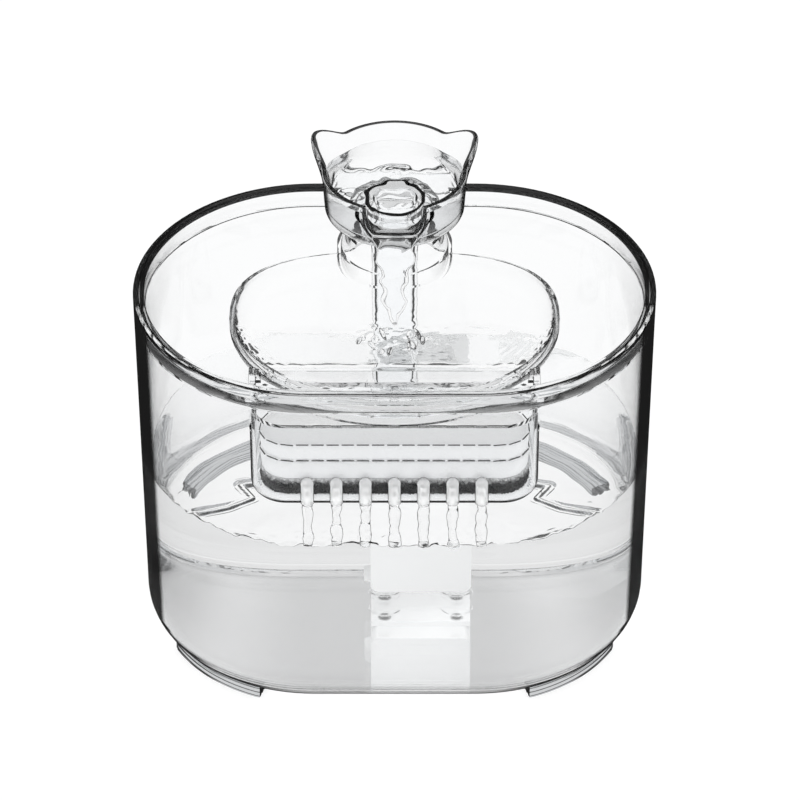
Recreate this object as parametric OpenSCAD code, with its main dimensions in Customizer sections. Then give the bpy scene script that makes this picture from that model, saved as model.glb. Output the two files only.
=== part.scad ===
// Clear pet water fountain: a racetrack tank, a tray with a basin, a cat-head spout cup,
// a hanging filter box with seven nozzles, and a pump on suction cups with its riser tube.
// Millimetres, +Z up, the front faces -Y. The origin is under the middle of the tank.

/* [Tank] */
// Length of the tank over its rim
tank_length = 182; // [176:1:200]
// Depth of the tank over its rim, front to back
tank_depth = 124.4; // [123:0.2:134]
// Height of the rim above the surface
rim_height = 144; // [138:1:156]
// Inward lean of the walls, in degrees
wall_draft = 0.35; // [0:0.05:0.6]
// Wall thickness below the ledge
tank_wall = 3.3; // [2.6:0.1:3.4]
// Wall thickness above the ledge
rim_wall = 2.1; // [1.6:0.1:2.4]
// Height of the rim above the ledge that carries the tray
ledge_drop = 9; // [7:0.5:10]
// Thickness of the tank's floor
tank_floor = 3.4; // [2.6:0.1:4]
// Radius of the tank's lower outside edge
bottom_round = 10.5; // [9:0.5:12]

/* [Feet] */
// Height of the tank's underside above the surface
foot_height = 3; // [2.4:0.2:4]
// Distance from the tank's outline in to a foot rail's outer face
foot_inset = 5; // [4.6:0.2:8]
// Width of a foot rail across its ridges
foot_width = 6.6; // [5:0.2:8]
// Angle from the long axis where a foot rail starts
foot_start = 28; // [20:1:40]
// Angle from the long axis where a foot rail ends
foot_end = 70; // [55:1:78]
// Number of grip grooves under each rail
foot_grooves = 3; // [2:1:4]
// Radius of the grip grooves
groove_radius = 0.7; // [0.4:0.05:0.8]

/* [Tray] */
// Thickness of the tray and its basin
tray_wall = 2; // [1.6:0.1:2.4]
// Thickness of the tray's upstanding edge
tray_edge = 1.5; // [1.2:0.1:1.8]
// Distance of the basin's widest line in front of the tank's centre
basin_offset = 7.5; // [5:0.5:8.5]
// Distance from the rim in to the basin at each end
basin_end_inset = 33.5; // [31:0.5:39]
// Distance from the rim in to the basin's rounded front
basin_front_inset = 6.5; // [6.3:0.1:10]
// Distance from the rim in to the basin's squarer back
basin_back_inset = 30.5; // [28:0.5:33]
// Drop from the tray's face to the basin's underside
basin_depth = 10.5; // [9:0.5:12]
// Distance from the rim in to the back face of the weir
weir_inset = 27.6; // [26.2:0.2:29.2]
// Thickness of the weir
weir_thick = 1.6; // [1.2:0.1:2]
// Distance from the basin's outline in to the overflow opening
slot_inset = 7; // [6:0.5:8]
// Distance from the basin's rim down to the top of the weir
weir_drop = 2.4; // [1.5:0.1:4]

/* [Pedestal and spout cup] */
// Distance from the rim in to the axis of the riser and the cup
riser_inset = 26.2; // [25.6:0.2:28]
// Radius of the pedestal's foot in the tray
pedestal_foot_radius = 20.4; // [19:0.2:21]
// Radius of the pedestal's top under the cup
pedestal_top_radius = 15.6; // [14.5:0.1:17]
// Height of the pedestal above the tray's face
pedestal_height = 12; // [10:0.5:16]
// Radius of the cup's rim
cup_radius = 25.6; // [24:0.2:26]
// Height of the cup's front rim over its underside
cup_height = 18.2; // [15:0.2:22]
// Wall thickness of the cup
cup_wall = 2; // [1.6:0.1:2.4]
// Rise of the cup's back rim over its front rim
back_rise = 3.7; // [2:0.1:6]
// Rise of each ear's tip over the front rim
ear_rise = 7; // [5:0.5:9]
// Outward flare of each ear's tip
ear_flare = 6; // [3:0.5:8]
// Angle of an ear's tip, measured from the front round to the side
ear_angle = 113; // [108:1:118]
// Reach of the muzzle lip past the cup's rim
muzzle_reach = 11.4; // [8:0.2:14]
// Drop of the muzzle lip below the front rim
lip_drop = 1.8; // [1:0.1:3]

/* [Filter box] */
// Length of the filter box
box_length = 99; // [96:1:102]
// Depth of the filter box
box_depth = 25; // [23:0.5:26]
// Distance from the rim in to the box's middle
box_inset = 20.2; // [20:0.2:21.2]
// Height of the box's wall, without its ears
box_height = 35; // [30:1:36]
// Gap from the basin's underside down to the box's wall
box_gap = 1.5; // [1:0.1:3]
// Wall thickness of the box
box_wall = 1.6; // [1.2:0.1:2]
// Number of outlet nozzles
nozzle_count = 7; // [5:1:7]
// Distance between nozzles
nozzle_pitch = 10; // [8:0.5:11]
// Radius of a nozzle's tube
nozzle_radius = 2.3; // [2:0.05:2.4]
// Length of a nozzle's tube below its dome
nozzle_length = 8.2; // [7:0.2:10]
// Radius of a nozzle's bore
nozzle_bore = 1.15; // [0.9:0.05:1.2]

/* [Filter pad] */
// Gap between the pad and the box's wall
pad_gap = 0.8; // [0.5:0.1:1.2]
// Gap left at each end of the pad
pad_end_gap = 1.9; // [1:0.1:3]
// Thickness of the top cotton
top_cotton_height = 8; // [5:0.5:8]
// Thickness of the granule layer's cotton pocket
resin_height = 7.6; // [5:0.2:8]
// Thickness of the carbon layer
carbon_height = 6.5; // [4:0.5:7]
// Thickness of the bottom cotton
bottom_cotton_height = 2.6; // [2:0.2:3]

/* [Riser tube] */
// Outer radius of the riser tube
riser_radius = 8.15; // [7.6:0.05:8.4]
// Wall thickness of the riser tube
riser_wall = 1.7; // [1.2:0.1:2]

/* [Pump] */
// Width of the pump's housing
pump_width = 36.5; // [34:0.5:38]
// Height of the pump's housing
pump_height = 30; // [30:1:34]
// Depth of the pump's housing behind its cover
pump_depth = 23.6; // [23:0.2:24]
// Distance of the rotor's axis to the right of the riser
rotor_offset = 9.5; // [9:0.5:10]
// Depth of the impeller chamber
chamber_depth = 6.6; // [6:0.2:7]
// Radius of the impeller
impeller_radius = 8.6; // [7:0.2:9]
// Number of impeller blades
blade_count = 6; // [4:1:8]
// Radius of the rotor's magnet
magnet_radius = 5; // [4.4:0.1:5.2]
// Length of the rotor's magnet
magnet_length = 8.6; // [7:0.2:9]
// Radius of the fixed shaft
shaft_radius = 1; // [0.8:0.05:1.2]
// Number of poles on the stator
pole_count = 4; // [3:1:6]
// Thickness of the pump's base plate
base_thick = 2; // [1.6:0.2:3]
// Number of slots in the intake
intake_slots = 5; // [4:1:7]
// Radius of a suction cup's rim
suction_radius = 6; // [5:0.2:7]
// Height of a suction cup
suction_height = 5; // [4:0.2:6]

/* [Clearances] */
// Gap between pieces that lift apart
lift_gap = 0.2; // [0.15:0.05:0.3]
// Gap between a soft pad and what it rests on
soft_gap = 0.3; // [0.2:0.05:0.4]
// Radial running gap of the rotor and of the cup on its riser
running_gap = 0.05; // [0.02:0.01:0.1]

/* [Hidden] */

arc_steps = 8;
fine = 96;
end_radius = tank_depth / 2;
half_len = tank_length / 2 - end_radius;
foot_radius = end_radius - foot_inset;
basin_half_width = tank_length / 2 - basin_end_inset;
basin_front = end_radius - basin_front_inset - basin_offset;
basin_back = end_radius - basin_back_inset + basin_offset;
weir_y = end_radius - weir_inset;
riser_y = end_radius - riser_inset;
box_y = end_radius - box_inset;
ledge_z = rim_height - ledge_drop;
floor_z = foot_height + tank_floor;

tray_z = ledge_z + tray_wall;
basin_low = tray_z - basin_depth;
tray_radius = end_radius - rim_wall - lift_gap;

cup_z = tray_z + pedestal_height + lift_gap;
cup_floor = cup_wall + 0.2;
seal_wall = 1.4;
seal_radius = riser_radius + running_gap + seal_wall;
box_top = basin_low - box_gap;
box_low = box_top - box_height;
box_radius = box_depth / 2;
box_half = box_length / 2 - box_radius;
nozzle_low = box_low + 3.4;
nozzle_hole_z = nozzle_low + 3;
nozzle_out = 1.25;
ear_width = 8;
ear_thick = 2;
ear_top = tray_z + 2.2;
lug_width = 4;
lug_reach = 2;
pad_z = box_low + box_wall + soft_gap;
pad_radius = box_radius - box_wall - pad_gap;
pad_half = box_length / 2 - box_wall - pad_end_gap - pad_radius;

pump_low = floor_z + suction_height + base_thick;
pump_top = pump_low + pump_height;
pump_x = -rotor_offset;
rotor_z = pump_low + pump_height / 2;
chamber_front = riser_y - chamber_depth / 2 - 0.4;
chamber_radius = impeller_radius + 1.5;
cover_thick = 2.5;
hood_depth = 6.3;
hood_wall = 1.5;
hood_inset = 6.25;
hood_lift = 4;
hood_width = pump_width - 2 * hood_inset;
hood_height = pump_height - 2 * hood_lift;
hood_low = pump_low + hood_lift;
hood_front = chamber_front - cover_thick - hood_depth;
rail_height = 2.4;
rail_wall = 1;
rail_inset = 3;
groove_low = 1.4;
slider_thick = 1.2;
slider_front = hood_front - slider_thick - lift_gap;
knob_width = 1.4;
knob_reach = 1;
slot_margin = 5;
well_radius = magnet_radius + 1;
well_wall = 0.9;
well_front = chamber_front + chamber_depth;
well_length = magnet_length + 2;
motor_radius = 12.9;
spigot_radius = 4.6;
spigot_length = 11;
outlet_bore = 3;
back_thick = 1.6;
pump_back = chamber_front + pump_depth;
bush_radius = 1.8;
bush_length = 1.2;
bush_stand = 0.7;
bush_front = chamber_front - cover_thick + 0.8;
shaft_front = chamber_front - 1;
shaft_back = well_front + well_length - 0.6;
core_depth = 6;
pole_width = 2.4;
pole_face = 6;
coil_width = 5;
gland_radius = 2.2;
gland_height = 6;
stem_radius = 1.6;
hub_radius = 2.6;
slot_step = (hood_width - 4) / intake_slots;
slider_travel = slot_step / 2;
base_front = hood_front;
suction_front = base_front + suction_radius - 0.5;
suction_back = suction_front + 2 * suction_radius + 3.5;
chute_wall = 1.5;
chute_low = pad_z + bottom_cotton_height + carbon_height + resin_height + top_cotton_height + 5.6;

// Points of an arc about (x, y), from angle a to angle b.
function arc_points(x, y, r, a, b, n = arc_steps) =
    [for (i = [0:n]) let (t = a + (b - a) * i / n) [x + r * cos(t), y + r * sin(t)]];

// Outside radius of the tank's wall at height z.
function wall_radius(z) = end_radius - (rim_height - z) * tan(wall_draft);

// Height of the tank's rounded lower corner at a distance r from the end's centre.
function corner_top(r) = let (start = wall_radius(foot_height + bottom_round) - bottom_round)
    foot_height + bottom_round - sqrt(pow(bottom_round, 2) - pow(max(0, r - start), 2));

// A smooth step from 0 at a to 1 at b.
function ease(a, b, t) = let (u = min(1, max(0, (t - a) / (b - a)))) u * u * (3 - 2 * u);

// Sweeps a section, drawn as [distance from the centre line, height], round a racetrack.
module racetrack(half) {
    for (side = [-1, 1])
        translate([side * half, 0, 0])
            rotate([0, 0, -90 * side])
                rotate_extrude(angle = 180, $fn = fine)
                    children();
    rotate([90, 0, 90])
        linear_extrude(2 * half, center = true) {
            children();
            mirror([1, 0]) children();
        }
}

// A flat racetrack slab from the surface z up.
module racetrack_slab(half, radius, z, height) {
    translate([0, 0, z])
        linear_extrude(height) {
            for (side = [-1, 1])
                translate([side * half, 0])
                    circle(radius, $fn = fine);
            square([2 * half, 2 * radius], center = true);
        }
}

// Skins a stack of rings that have the same number of points, and closes both ends flat.
module skin(rings) {
    n = len(rings[0]);
    last = len(rings) - 1;
    points = [for (ring = rings) each ring];
    sides = [for (k = [0:last - 1]) for (i = [0:n - 1])
        let (j = (i + 1) % n) each [
            [k * n + i, (k + 1) * n + i, k * n + j],
            [k * n + j, (k + 1) * n + i, (k + 1) * n + j]]];
    bottom = [[for (i = [0:n - 1]) i]];
    top = [[for (i = [n - 1:-1:0]) last * n + i]];
    polyhedron(points, concat(sides, bottom, top), convexity = 8);
}

// A cylinder along Y from y to y + length.
module along_y(x, y, z, r, length, steps = 48) {
    translate([x, y, z])
        rotate([-90, 0, 0])
            cylinder(r = r, h = length, $fn = steps);
}

// A block with rounded vertical edges seen from the front, from y to y + depth.
module front_block(x, y, z, width, depth, height, round) {
    translate([x, y + depth, z])
        rotate([90, 0, 0])
            linear_extrude(depth)
                offset_square(width, height, round);
}

// A square centred on x with its foot on y = 0 and exact round corners.
module offset_square(width, height, round) {
    translate([-width / 2 + round, 0])
        square([width - 2 * round, height]);
    translate([-width / 2, round])
        square([width, height - 2 * round]);
    for (sx = [-1, 1], y = [round, height - round])
        translate([sx * (width / 2 - round), y])
            circle(round, $fn = 32);
}

// ---------------------------------------------------------------- tank and feet

module tank_section() {
    low_radius = wall_radius(foot_height + bottom_round);
    inner_round = bottom_round - tank_wall;
    inner_low = low_radius - tank_wall;
    lip = rim_wall / 2;
    polygon(concat(
        [[0, foot_height]],
        arc_points(low_radius - bottom_round, foot_height + bottom_round, bottom_round, -90, 0),
        arc_points(end_radius - lip, rim_height - lip, lip, 0, 180),
        [[end_radius - rim_wall, ledge_z], [wall_radius(ledge_z) - tank_wall, ledge_z]],
        arc_points(inner_low - inner_round, floor_z + inner_round, inner_round, 0, -90),
        [[0, floor_z]]));
}

module tank() {
    color("aliceblue", 0.35) racetrack(half_len) tank_section();
}

module foot_section() {
    inner = foot_radius - foot_width;
    pitch = foot_width / (foot_grooves + 0.5);
    difference() {
        polygon([[inner, 0.6], [inner + 0.6, 0], [foot_radius - 0.6, 0], [foot_radius, 0.6],
            [foot_radius, corner_top(foot_radius) + tank_wall / 2],
            [inner, corner_top(inner) + tank_wall / 2]]);
        tank_section();
        for (i = [1:foot_grooves])
            translate([foot_radius - i * pitch, 0])
                circle(groove_radius, $fn = 24);
    }
}

// A foot rail follows the rounded end of the tank; sx and sy choose the corner.
module foot(sx, sy) {
    start = sx > 0 ? (sy > 0 ? foot_start : -foot_end) : (sy > 0 ? 180 - foot_end : 180 + foot_start);
    color("azure", 0.6)
        translate([sx * half_len, 0, 0])
            rotate([0, 0, start])
                rotate_extrude(angle = foot_end - foot_start, $fn = fine)
                    foot_section();
}

// ---------------------------------------------------------------- tray

// One closed ring of the basin: round in front, squarer at the back, drawn in by inset.
function basin_ring(inset, z, n = 72) = [for (i = [0:n - 1])
    let (a = 360 * i / n, back = sin(a) > 0, power = back ? 2 / 2.7 : 1,
        x = sign(cos(a)) * pow(abs(cos(a)), power), y = sign(sin(a)) * pow(abs(sin(a)), power))
    [(basin_half_width - inset) * x,
        ((back ? basin_back : basin_front) - inset) * y - basin_offset, z]];

// The basin's bowl as a solid, from its rim at high down to low, drawn in by wall.
module basin_bowl(low, high, wall) {
    round = 7;
    skin(concat(
        [for (i = [0:5])
            let (a = -90 + 78 * i / 5)
            basin_ring(wall + round - round * cos(a), low + round + round * sin(a))],
        [basin_ring(wall, high)]));
}

module pedestal_section(inset) {
    foot = pedestal_foot_radius - inset;
    top = pedestal_top_radius - inset;
    polygon(concat(
        [[0, basin_low], [foot, basin_low], [foot, tray_z - inset / 2]],
        arc_points(foot + 0.4, tray_z + 3.4 - inset / 2, 3.4, 263, 187, 5),
        [[top + 0.3, tray_z + pedestal_height - 1.2 - inset],
            [top - 0.6, tray_z + pedestal_height - inset], [0, tray_z + pedestal_height - inset]]));
}

module tray_section() {
    polygon([[0, ledge_z], [tray_radius - 0.6, ledge_z], [tray_radius, ledge_z + 0.6],
        [tray_radius, rim_height - 0.5], [tray_radius - 0.4, rim_height - lift_gap],
        [tray_radius - tray_edge + 0.4, rim_height - lift_gap],
        [tray_radius - tray_edge, rim_height - 0.6], [tray_radius - tray_edge, tray_z + 2.5],
        [tray_radius - tray_edge - 0.7, tray_z + 0.7], [tray_radius - tray_edge - 2.5, tray_z],
        [0, tray_z]]);
}

// The opening in front of the weir, shaped as the basin drawn in by inset.
module overflow_opening(inset, low, high) {
    translate([0, 0, low])
        linear_extrude(high - low)
            intersection() {
                polygon([for (p = basin_ring(inset, 0)) [p.x, p.y]]);
                translate([-tank_length / 2, -tank_depth])
                    square([tank_length, tank_depth - weir_y - weir_thick - inset + slot_inset]);
            }
}

// The low wall that keeps the water in the basin until it runs over.
module weir() {
    intersection() {
        translate([-basin_half_width, -weir_y - weir_thick, basin_low + 0.5])
            cube([2 * basin_half_width, weir_thick, basin_depth - 0.5 - weir_drop]);
        basin_bowl(basin_low, tray_z, 0.5);
    }
}

// The slot that lets an ear of the filter box, and the lug on it, through the tray.
module ear_slot() {
    slack = 0.3;
    translate([box_length / 2 - ear_thick - slack, -ear_width / 2 - slack, ledge_z - 1])
        cube([ear_thick + 2 * slack, ear_width + 2 * slack, tray_wall + 2]);
    translate([box_length / 2 - ear_thick - lug_reach, -lug_width / 2 - slack, ledge_z - 1])
        cube([lug_reach + ear_thick / 2, lug_width + 2 * slack, tray_wall + 2]);
}

module tray() {
    color("aliceblue", 0.35)
        difference() {
            union() {
                difference() {
                    union() {
                        racetrack(half_len) tray_section();
                        basin_bowl(basin_low, tray_z - tray_wall / 2, 0);
                    }
                    basin_bowl(basin_low + tray_wall, tray_z + 1, tray_wall);
                }
                translate([0, riser_y, 0])
                    rotate_extrude($fn = fine) pedestal_section(0);
                overflow_opening(slot_inset - chute_wall, chute_low, basin_low + tray_wall);
                weir();
            }
            overflow_opening(slot_inset, chute_low - 1, basin_low + tray_wall + 1);
            translate([0, riser_y, -1])
                rotate_extrude($fn = fine) pedestal_section(tray_wall);
            translate([0, riser_y, basin_low])
                cylinder(r = seal_radius + 0.8, h = basin_depth + pedestal_height + 1, $fn = 64);
            for (turn = [0, 180])
                translate([0, -box_y, 0])
                    rotate([0, 0, turn]) ear_slot();
        }
}

// ---------------------------------------------------------------- spout cup

// Angle from the front, 0 to 180, of a direction a round the cup.
function from_front(a) = abs(((a + 90 + 540) % 360) - 180);
function ear_shape(f) = 1 - ease(0, 24, abs(f - ear_angle));
function muzzle_shape(f) = 1 - ease(10, 28, f);
function cup_rim_radius(f) = cup_radius + ear_flare * ear_shape(f)
    + muzzle_reach * muzzle_shape(f) / max(0.6, cos(min(f, 30)));
function cup_rim_z(f) = cup_height + back_rise * ease(92, 138, f)
    + (ear_rise - back_rise * ease(92, 138, ear_angle)) * ear_shape(f) - lip_drop * muzzle_shape(f);

// How far the wall must be drawn in along the radius for an even thickness.
function wall_inset(f) = let (slope = (cup_rim_radius(f + 0.5) - cup_rim_radius(f - 0.5))
    / (cup_rim_radius(f) * PI / 180)) cup_wall * min(1.6, sqrt(1 + slope * slope));

// One ring of the cup at height share h, on the outside, or drawn in for the inside.
function cup_ring(h, low, inset, n = 120) = [for (i = [0:n - 1])
    let (a = 360 * i / n, f = from_front(a),
        body = cup_radius - 1.2 + 1.2 * h - 4.2 * pow(1 - min(1, h / 0.22), 2),
        ears = ear_flare * ear_shape(f) * ease(0.35, 1, h),
        muzzle = (cup_rim_radius(f) - cup_radius - ear_flare * ear_shape(f)) * ease(0.2, 1.05, h),
        r = body + ears + muzzle - inset * wall_inset(f),
        z = low + (cup_rim_z(f) - low) * h)
    [r * cos(a), r * sin(a), z]];

module spout_cup() {
    outer = [0, 0.04, 0.1, 0.2, 0.36, 0.55, 0.78, 1];
    inner = [1, 0.78, 0.55, 0.36, 0.2, 0.1, 0.04, 0];
    color("white", 0.4)
        translate([0, riser_y, cup_z])
            difference() {
                skin(concat([for (h = outer) cup_ring(h, 0, 0)],
                    [for (h = inner) cup_ring(h, cup_floor, 1)]));
                translate([0, 0, -1])
                    cylinder(r = seal_radius, h = cup_wall + 3, $fn = 64);
            }
}

module cup_seal() {
    bore = riser_radius + running_gap;
    color("whitesmoke", 0.7)
        translate([0, riser_y, cup_z])
            rotate_extrude($fn = 64)
                polygon([[bore, -1], [seal_radius, -1], [seal_radius, cup_floor],
                    [seal_radius + 1.2, cup_floor], [seal_radius + 1.2, cup_floor + 0.8],
                    [bore + 0.4, cup_floor + 1.2], [bore, cup_floor + 0.6]]);
}

// ---------------------------------------------------------------- filter box and pad

module box_section(inset, round) {
    polygon(concat([[0, box_low + inset]],
        arc_points(box_radius - inset - round, box_low + inset + round, round, -90, 0, 6),
        [[box_radius - inset, box_top + inset], [0, box_top + inset]]));
}

module box_ear() {
    reach = ear_top - box_top + 8;
    translate([box_length / 2 - ear_thick, -ear_width / 2, ear_top - reach])
        rotate([90, 0, 90])
            linear_extrude(ear_thick) {
                square([ear_width, reach - 3]);
                translate([3, 0]) square([ear_width - 6, reach]);
                for (y = [3, ear_width - 3])
                    translate([y, reach - 3]) circle(3, $fn = 32);
            }
    translate([box_length / 2 - ear_thick - lug_reach + 0.6, -lug_width / 2, tray_z + 0.4])
        cube([lug_reach, lug_width, ear_top - tray_z - 1]);
}

module filter_box() {
    color("white", 0.45)
        translate([0, -box_y, 0])
            difference() {
                union() {
                    racetrack(box_half) box_section(0, 4);
                    for (turn = [0, 180])
                        rotate([0, 0, turn]) box_ear();
                }
                racetrack(box_half) box_section(box_wall, 1.4);
                for (i = [0:nozzle_count - 1])
                    along_y((i - (nozzle_count - 1) / 2) * nozzle_pitch, -box_radius - 1,
                        nozzle_hole_z, nozzle_bore - 0.05, box_wall + 2, 24);
            }
}

module outlet_nozzles() {
    front = -box_y - box_radius;
    color("white", 0.6)
        for (i = [0:nozzle_count - 1])
            translate([(i - (nozzle_count - 1) / 2) * nozzle_pitch, front - nozzle_out, nozzle_low])
                difference() {
                    union() {
                        cylinder(r = nozzle_radius, h = nozzle_length, $fn = 32);
                        translate([0, 0, nozzle_length]) sphere(nozzle_radius, $fn = 32);
                    }
                    translate([0, 0, -1])
                        cylinder(r = nozzle_bore, h = nozzle_length, $fn = 24);
                    translate([-5, nozzle_out, -1])
                        cube([10, 10, nozzle_length + 10]);
                    along_y(0, 0, nozzle_hole_z - nozzle_low, nozzle_bore - 0.05, 5, 24);
                }
}

// One layer of the pad, from z up.
module pad_layer(tint, z, height) {
    color(tint)
        translate([0, -box_y, 0])
            racetrack_slab(pad_half, pad_radius, pad_z + z, height);
}

module bottom_cotton() {
    pad_layer("white", 0, bottom_cotton_height);
}

module carbon_layer() {
    pad_layer("dimgray", bottom_cotton_height, carbon_height);
}

module resin_layer() {
    pad_layer("whitesmoke", bottom_cotton_height + carbon_height, resin_height);
}

module top_cotton() {
    pad_layer("white", bottom_cotton_height + carbon_height + resin_height, top_cotton_height);
}

// ---------------------------------------------------------------- riser and pump

module riser_tube() {
    color("white", 0.5)
        translate([0, riser_y, pump_top])
            difference() {
                cylinder(r = riser_radius, h = cup_z + cup_wall - pump_top, $fn = 64);
                translate([0, 0, -1])
                    cylinder(r = riser_radius - riser_wall, h = cup_z + cup_wall - pump_top + 2, $fn = 64);
            }
}

module outlet_adapter() {
    color("gainsboro")
        translate([0, riser_y, pump_top])
            difference() {
                cylinder(r = riser_radius - riser_wall, h = spigot_length - 1, $fn = 64);
                translate([0, 0, -1])
                    cylinder(r = spigot_radius, h = spigot_length + 2, $fn = 48);
            }
}

module pump_housing() {
    color("ghostwhite")
        difference() {
            union() {
                front_block(pump_x, chamber_front, pump_low, pump_width, pump_depth, pump_height, 3);
                translate([0, riser_y, pump_top])
                    cylinder(r = spigot_radius, h = spigot_length, $fn = 48);
            }
            along_y(pump_x, chamber_front - 1, rotor_z, chamber_radius, chamber_depth + 1, 64);
            along_y(pump_x, well_front - 1, rotor_z, well_radius, well_length + 1);
            difference() {
                along_y(pump_x, well_front + 1, rotor_z, motor_radius, pump_depth, 64);
                along_y(pump_x, well_front, rotor_z, well_radius + well_wall, well_length + 1);
            }
            translate([0, riser_y, rotor_z])
                cylinder(r = outlet_bore, h = pump_height, $fn = 32);
            translate([pump_x + pump_width / 2 + 1, pump_back - 5, pump_low + gland_height])
                rotate([0, -90, 0]) cylinder(r = gland_radius, h = 11, $fn = 32);
        }
}

module pump_cover() {
    front = chamber_front - cover_thick;
    color("ghostwhite")
        difference() {
            union() {
                front_block(pump_x, front, pump_low, pump_width, cover_thick, pump_height, 3);
                along_y(pump_x, chamber_front - 0.1, rotor_z, chamber_radius - 0.2, 0.7, 64);
            }
            difference() {
                along_y(pump_x, front - 1, rotor_z, 4.6, cover_thick + 3);
                along_y(pump_x, front - 2, rotor_z, 2.6, cover_thick + 5);
                for (a = [0, 120, 240])
                    translate([pump_x, front - 2, rotor_z])
                        rotate([0, a, 0]) translate([-0.7, 0, 0]) cube([1.4, cover_thick + 5, 6]);
            }
            along_y(pump_x, bush_front, rotor_z, bush_radius, cover_thick + 2, 32);
            translate([pump_x, front, rotor_z])
                rotate([-90, 0, 0])
                    translate([0, 0, cover_thick - 0.8]) seal_ring(0.05);
        }
}

// The ring that lies in the cover's groove; grow widens it to the groove itself.
module seal_ring(grow) {
    rotate_extrude($fn = 64)
        translate([chamber_radius + 1, 0])
            square([1.2 + grow, 0.8 + grow]);
}

module cover_seal() {
    color("darkgray")
        translate([pump_x, chamber_front - 0.8, rotor_z])
            rotate([-90, 0, 0]) seal_ring(0);
}

// The two rails on the hood that the slider runs in.
module slider_rail(z, open_up) {
    reach = slider_thick + 2 * lift_gap + rail_wall;
    translate([pump_x - hood_width / 2 + rail_inset, hood_front - reach, z])
        difference() {
            cube([hood_width - 2 * rail_inset, reach + 0.1, rail_height]);
            translate([-1, rail_wall, open_up ? groove_low : -1])
                cube([hood_width, slider_thick + 2 * lift_gap, rail_height - groove_low + 1]);
        }
}

module intake_hood() {
    inner_width = hood_width - 2 * hood_wall;
    inner_height = hood_height - 2 * hood_wall;
    color("ghostwhite")
        difference() {
            union() {
                front_block(pump_x, hood_front, hood_low, hood_width, hood_depth, hood_height, 2);
                slider_rail(hood_low, true);
                slider_rail(hood_low + hood_height - rail_height, false);
            }
            front_block(pump_x, hood_front + hood_wall, hood_low + hood_wall, inner_width, hood_depth,
                inner_height, 1);
            intake_openings(hood_front - 1, hood_wall + 2);
        }
}

// The row of upright slots, cut from y over the given depth.
module intake_openings(y, depth) {
    for (i = [0:intake_slots - 1])
        translate([pump_x + (i - (intake_slots - 1) / 2) * slot_step - slider_travel / 2, y,
            hood_low + slot_margin])
            cube([slider_travel, depth, hood_height - 2 * slot_margin]);
}

module intake_foam() {
    inset = hood_wall + soft_gap;
    color("dimgray")
        front_block(pump_x, hood_front + inset, hood_low + inset, hood_width - 2 * inset,
            hood_depth - inset - soft_gap, hood_height - 2 * inset, 0.8);
}

module flow_slider() {
    width = hood_width - 2 * slider_travel;
    edge = groove_low + lift_gap;
    color("lightgray")
        difference() {
            union() {
                translate([pump_x - width / 2, slider_front, hood_low + edge])
                    cube([width, slider_thick, hood_height - 2 * edge]);
                translate([pump_x - width / 2 + 0.4, slider_front - knob_reach, hood_low + slot_margin])
                    cube([knob_width, knob_reach + 0.6, hood_height - 2 * slot_margin]);
            }
            intake_openings(slider_front - 1, slider_thick + 2);
        }
}

module impeller() {
    base = 0.8;
    front = chamber_front + 1;
    back = well_front - 0.7;
    color("whitesmoke")
        difference() {
            union() {
                along_y(pump_x, back - base, rotor_z, impeller_radius, base, 64);
                along_y(pump_x, front, rotor_z, hub_radius, back - front + 1.4, 32);
                for (i = [0:blade_count - 1])
                    translate([pump_x, front, rotor_z])
                        rotate([0, i * 360 / blade_count, 0])
                            translate([-0.5, 0, 2]) cube([1, back - front, impeller_radius - 2.1]);
            }
            along_y(pump_x, front - 1, rotor_z, shaft_radius + running_gap, chamber_depth + 4, 32);
        }
}

module rotor_magnet() {
    front = well_front - 0.7;
    color("dimgray")
        difference() {
            along_y(pump_x, front, rotor_z, magnet_radius, magnet_length);
            along_y(pump_x, front - 1, rotor_z, hub_radius, 2.4, 32);
            along_y(pump_x, front, rotor_z, shaft_radius + running_gap, magnet_length + 1, 32);
        }
}

module rotor_shaft() {
    color("white")
        along_y(pump_x, shaft_front, rotor_z, shaft_radius, shaft_back - shaft_front, 32);
}

// A rubber bush from y to y + depth, with a blind hole that holds the shaft's end.
module bush(y, depth) {
    color("gray")
        difference() {
            along_y(pump_x, y, rotor_z, bush_radius, depth, 32);
            along_y(pump_x, shaft_front, rotor_z, shaft_radius, shaft_back - shaft_front, 32);
        }
}

module front_bush() {
    bush(bush_front, chamber_front + bush_stand - bush_front);
}

module rear_bush() {
    bush(well_front + well_length - bush_length, bush_length);
}

module stator_core() {
    color("silver")
        difference() {
            union() {
                difference() {
                    along_y(pump_x, well_front + 2, rotor_z, motor_radius, core_depth, 64);
                    along_y(pump_x, well_front + 1, rotor_z, motor_radius - 1.6, core_depth + 2, 64);
                }
                for (i = [0:pole_count - 1])
                    translate([pump_x, well_front + 2, rotor_z])
                        rotate([0, (i + 0.5) * 360 / pole_count, 0]) {
                            translate([-pole_width / 2, 0, well_radius + well_wall])
                                cube([pole_width, core_depth, motor_radius - well_radius - 2]);
                            translate([-pole_face / 2, 0, well_radius + well_wall - 0.4])
                                cube([pole_face, core_depth, 1.4]);
                        }
            }
            along_y(pump_x, well_front + 1, rotor_z, well_radius + well_wall + 0.05, core_depth + 2, 64);
        }
}

module stator_coils() {
    low = well_radius + well_wall + 1.2;
    color("peru")
        for (i = [0:pole_count - 1])
            translate([pump_x, well_front + 1.3, rotor_z])
                rotate([0, (i + 0.5) * 360 / pole_count, 0])
                    difference() {
                        translate([-coil_width / 2, 0, low])
                            cube([coil_width, core_depth + 1.4, motor_radius - low - 2.2]);
                        translate([-pole_width / 2 - 0.05, 0.6, low - 1])
                            cube([pole_width + 0.1, core_depth + 0.2, motor_radius]);
                    }
}

module drive_board() {
    color("seagreen")
        along_y(pump_x, well_front + well_length + 1.2, rotor_z, motor_radius - 0.1, 1.2, 64);
}

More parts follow.
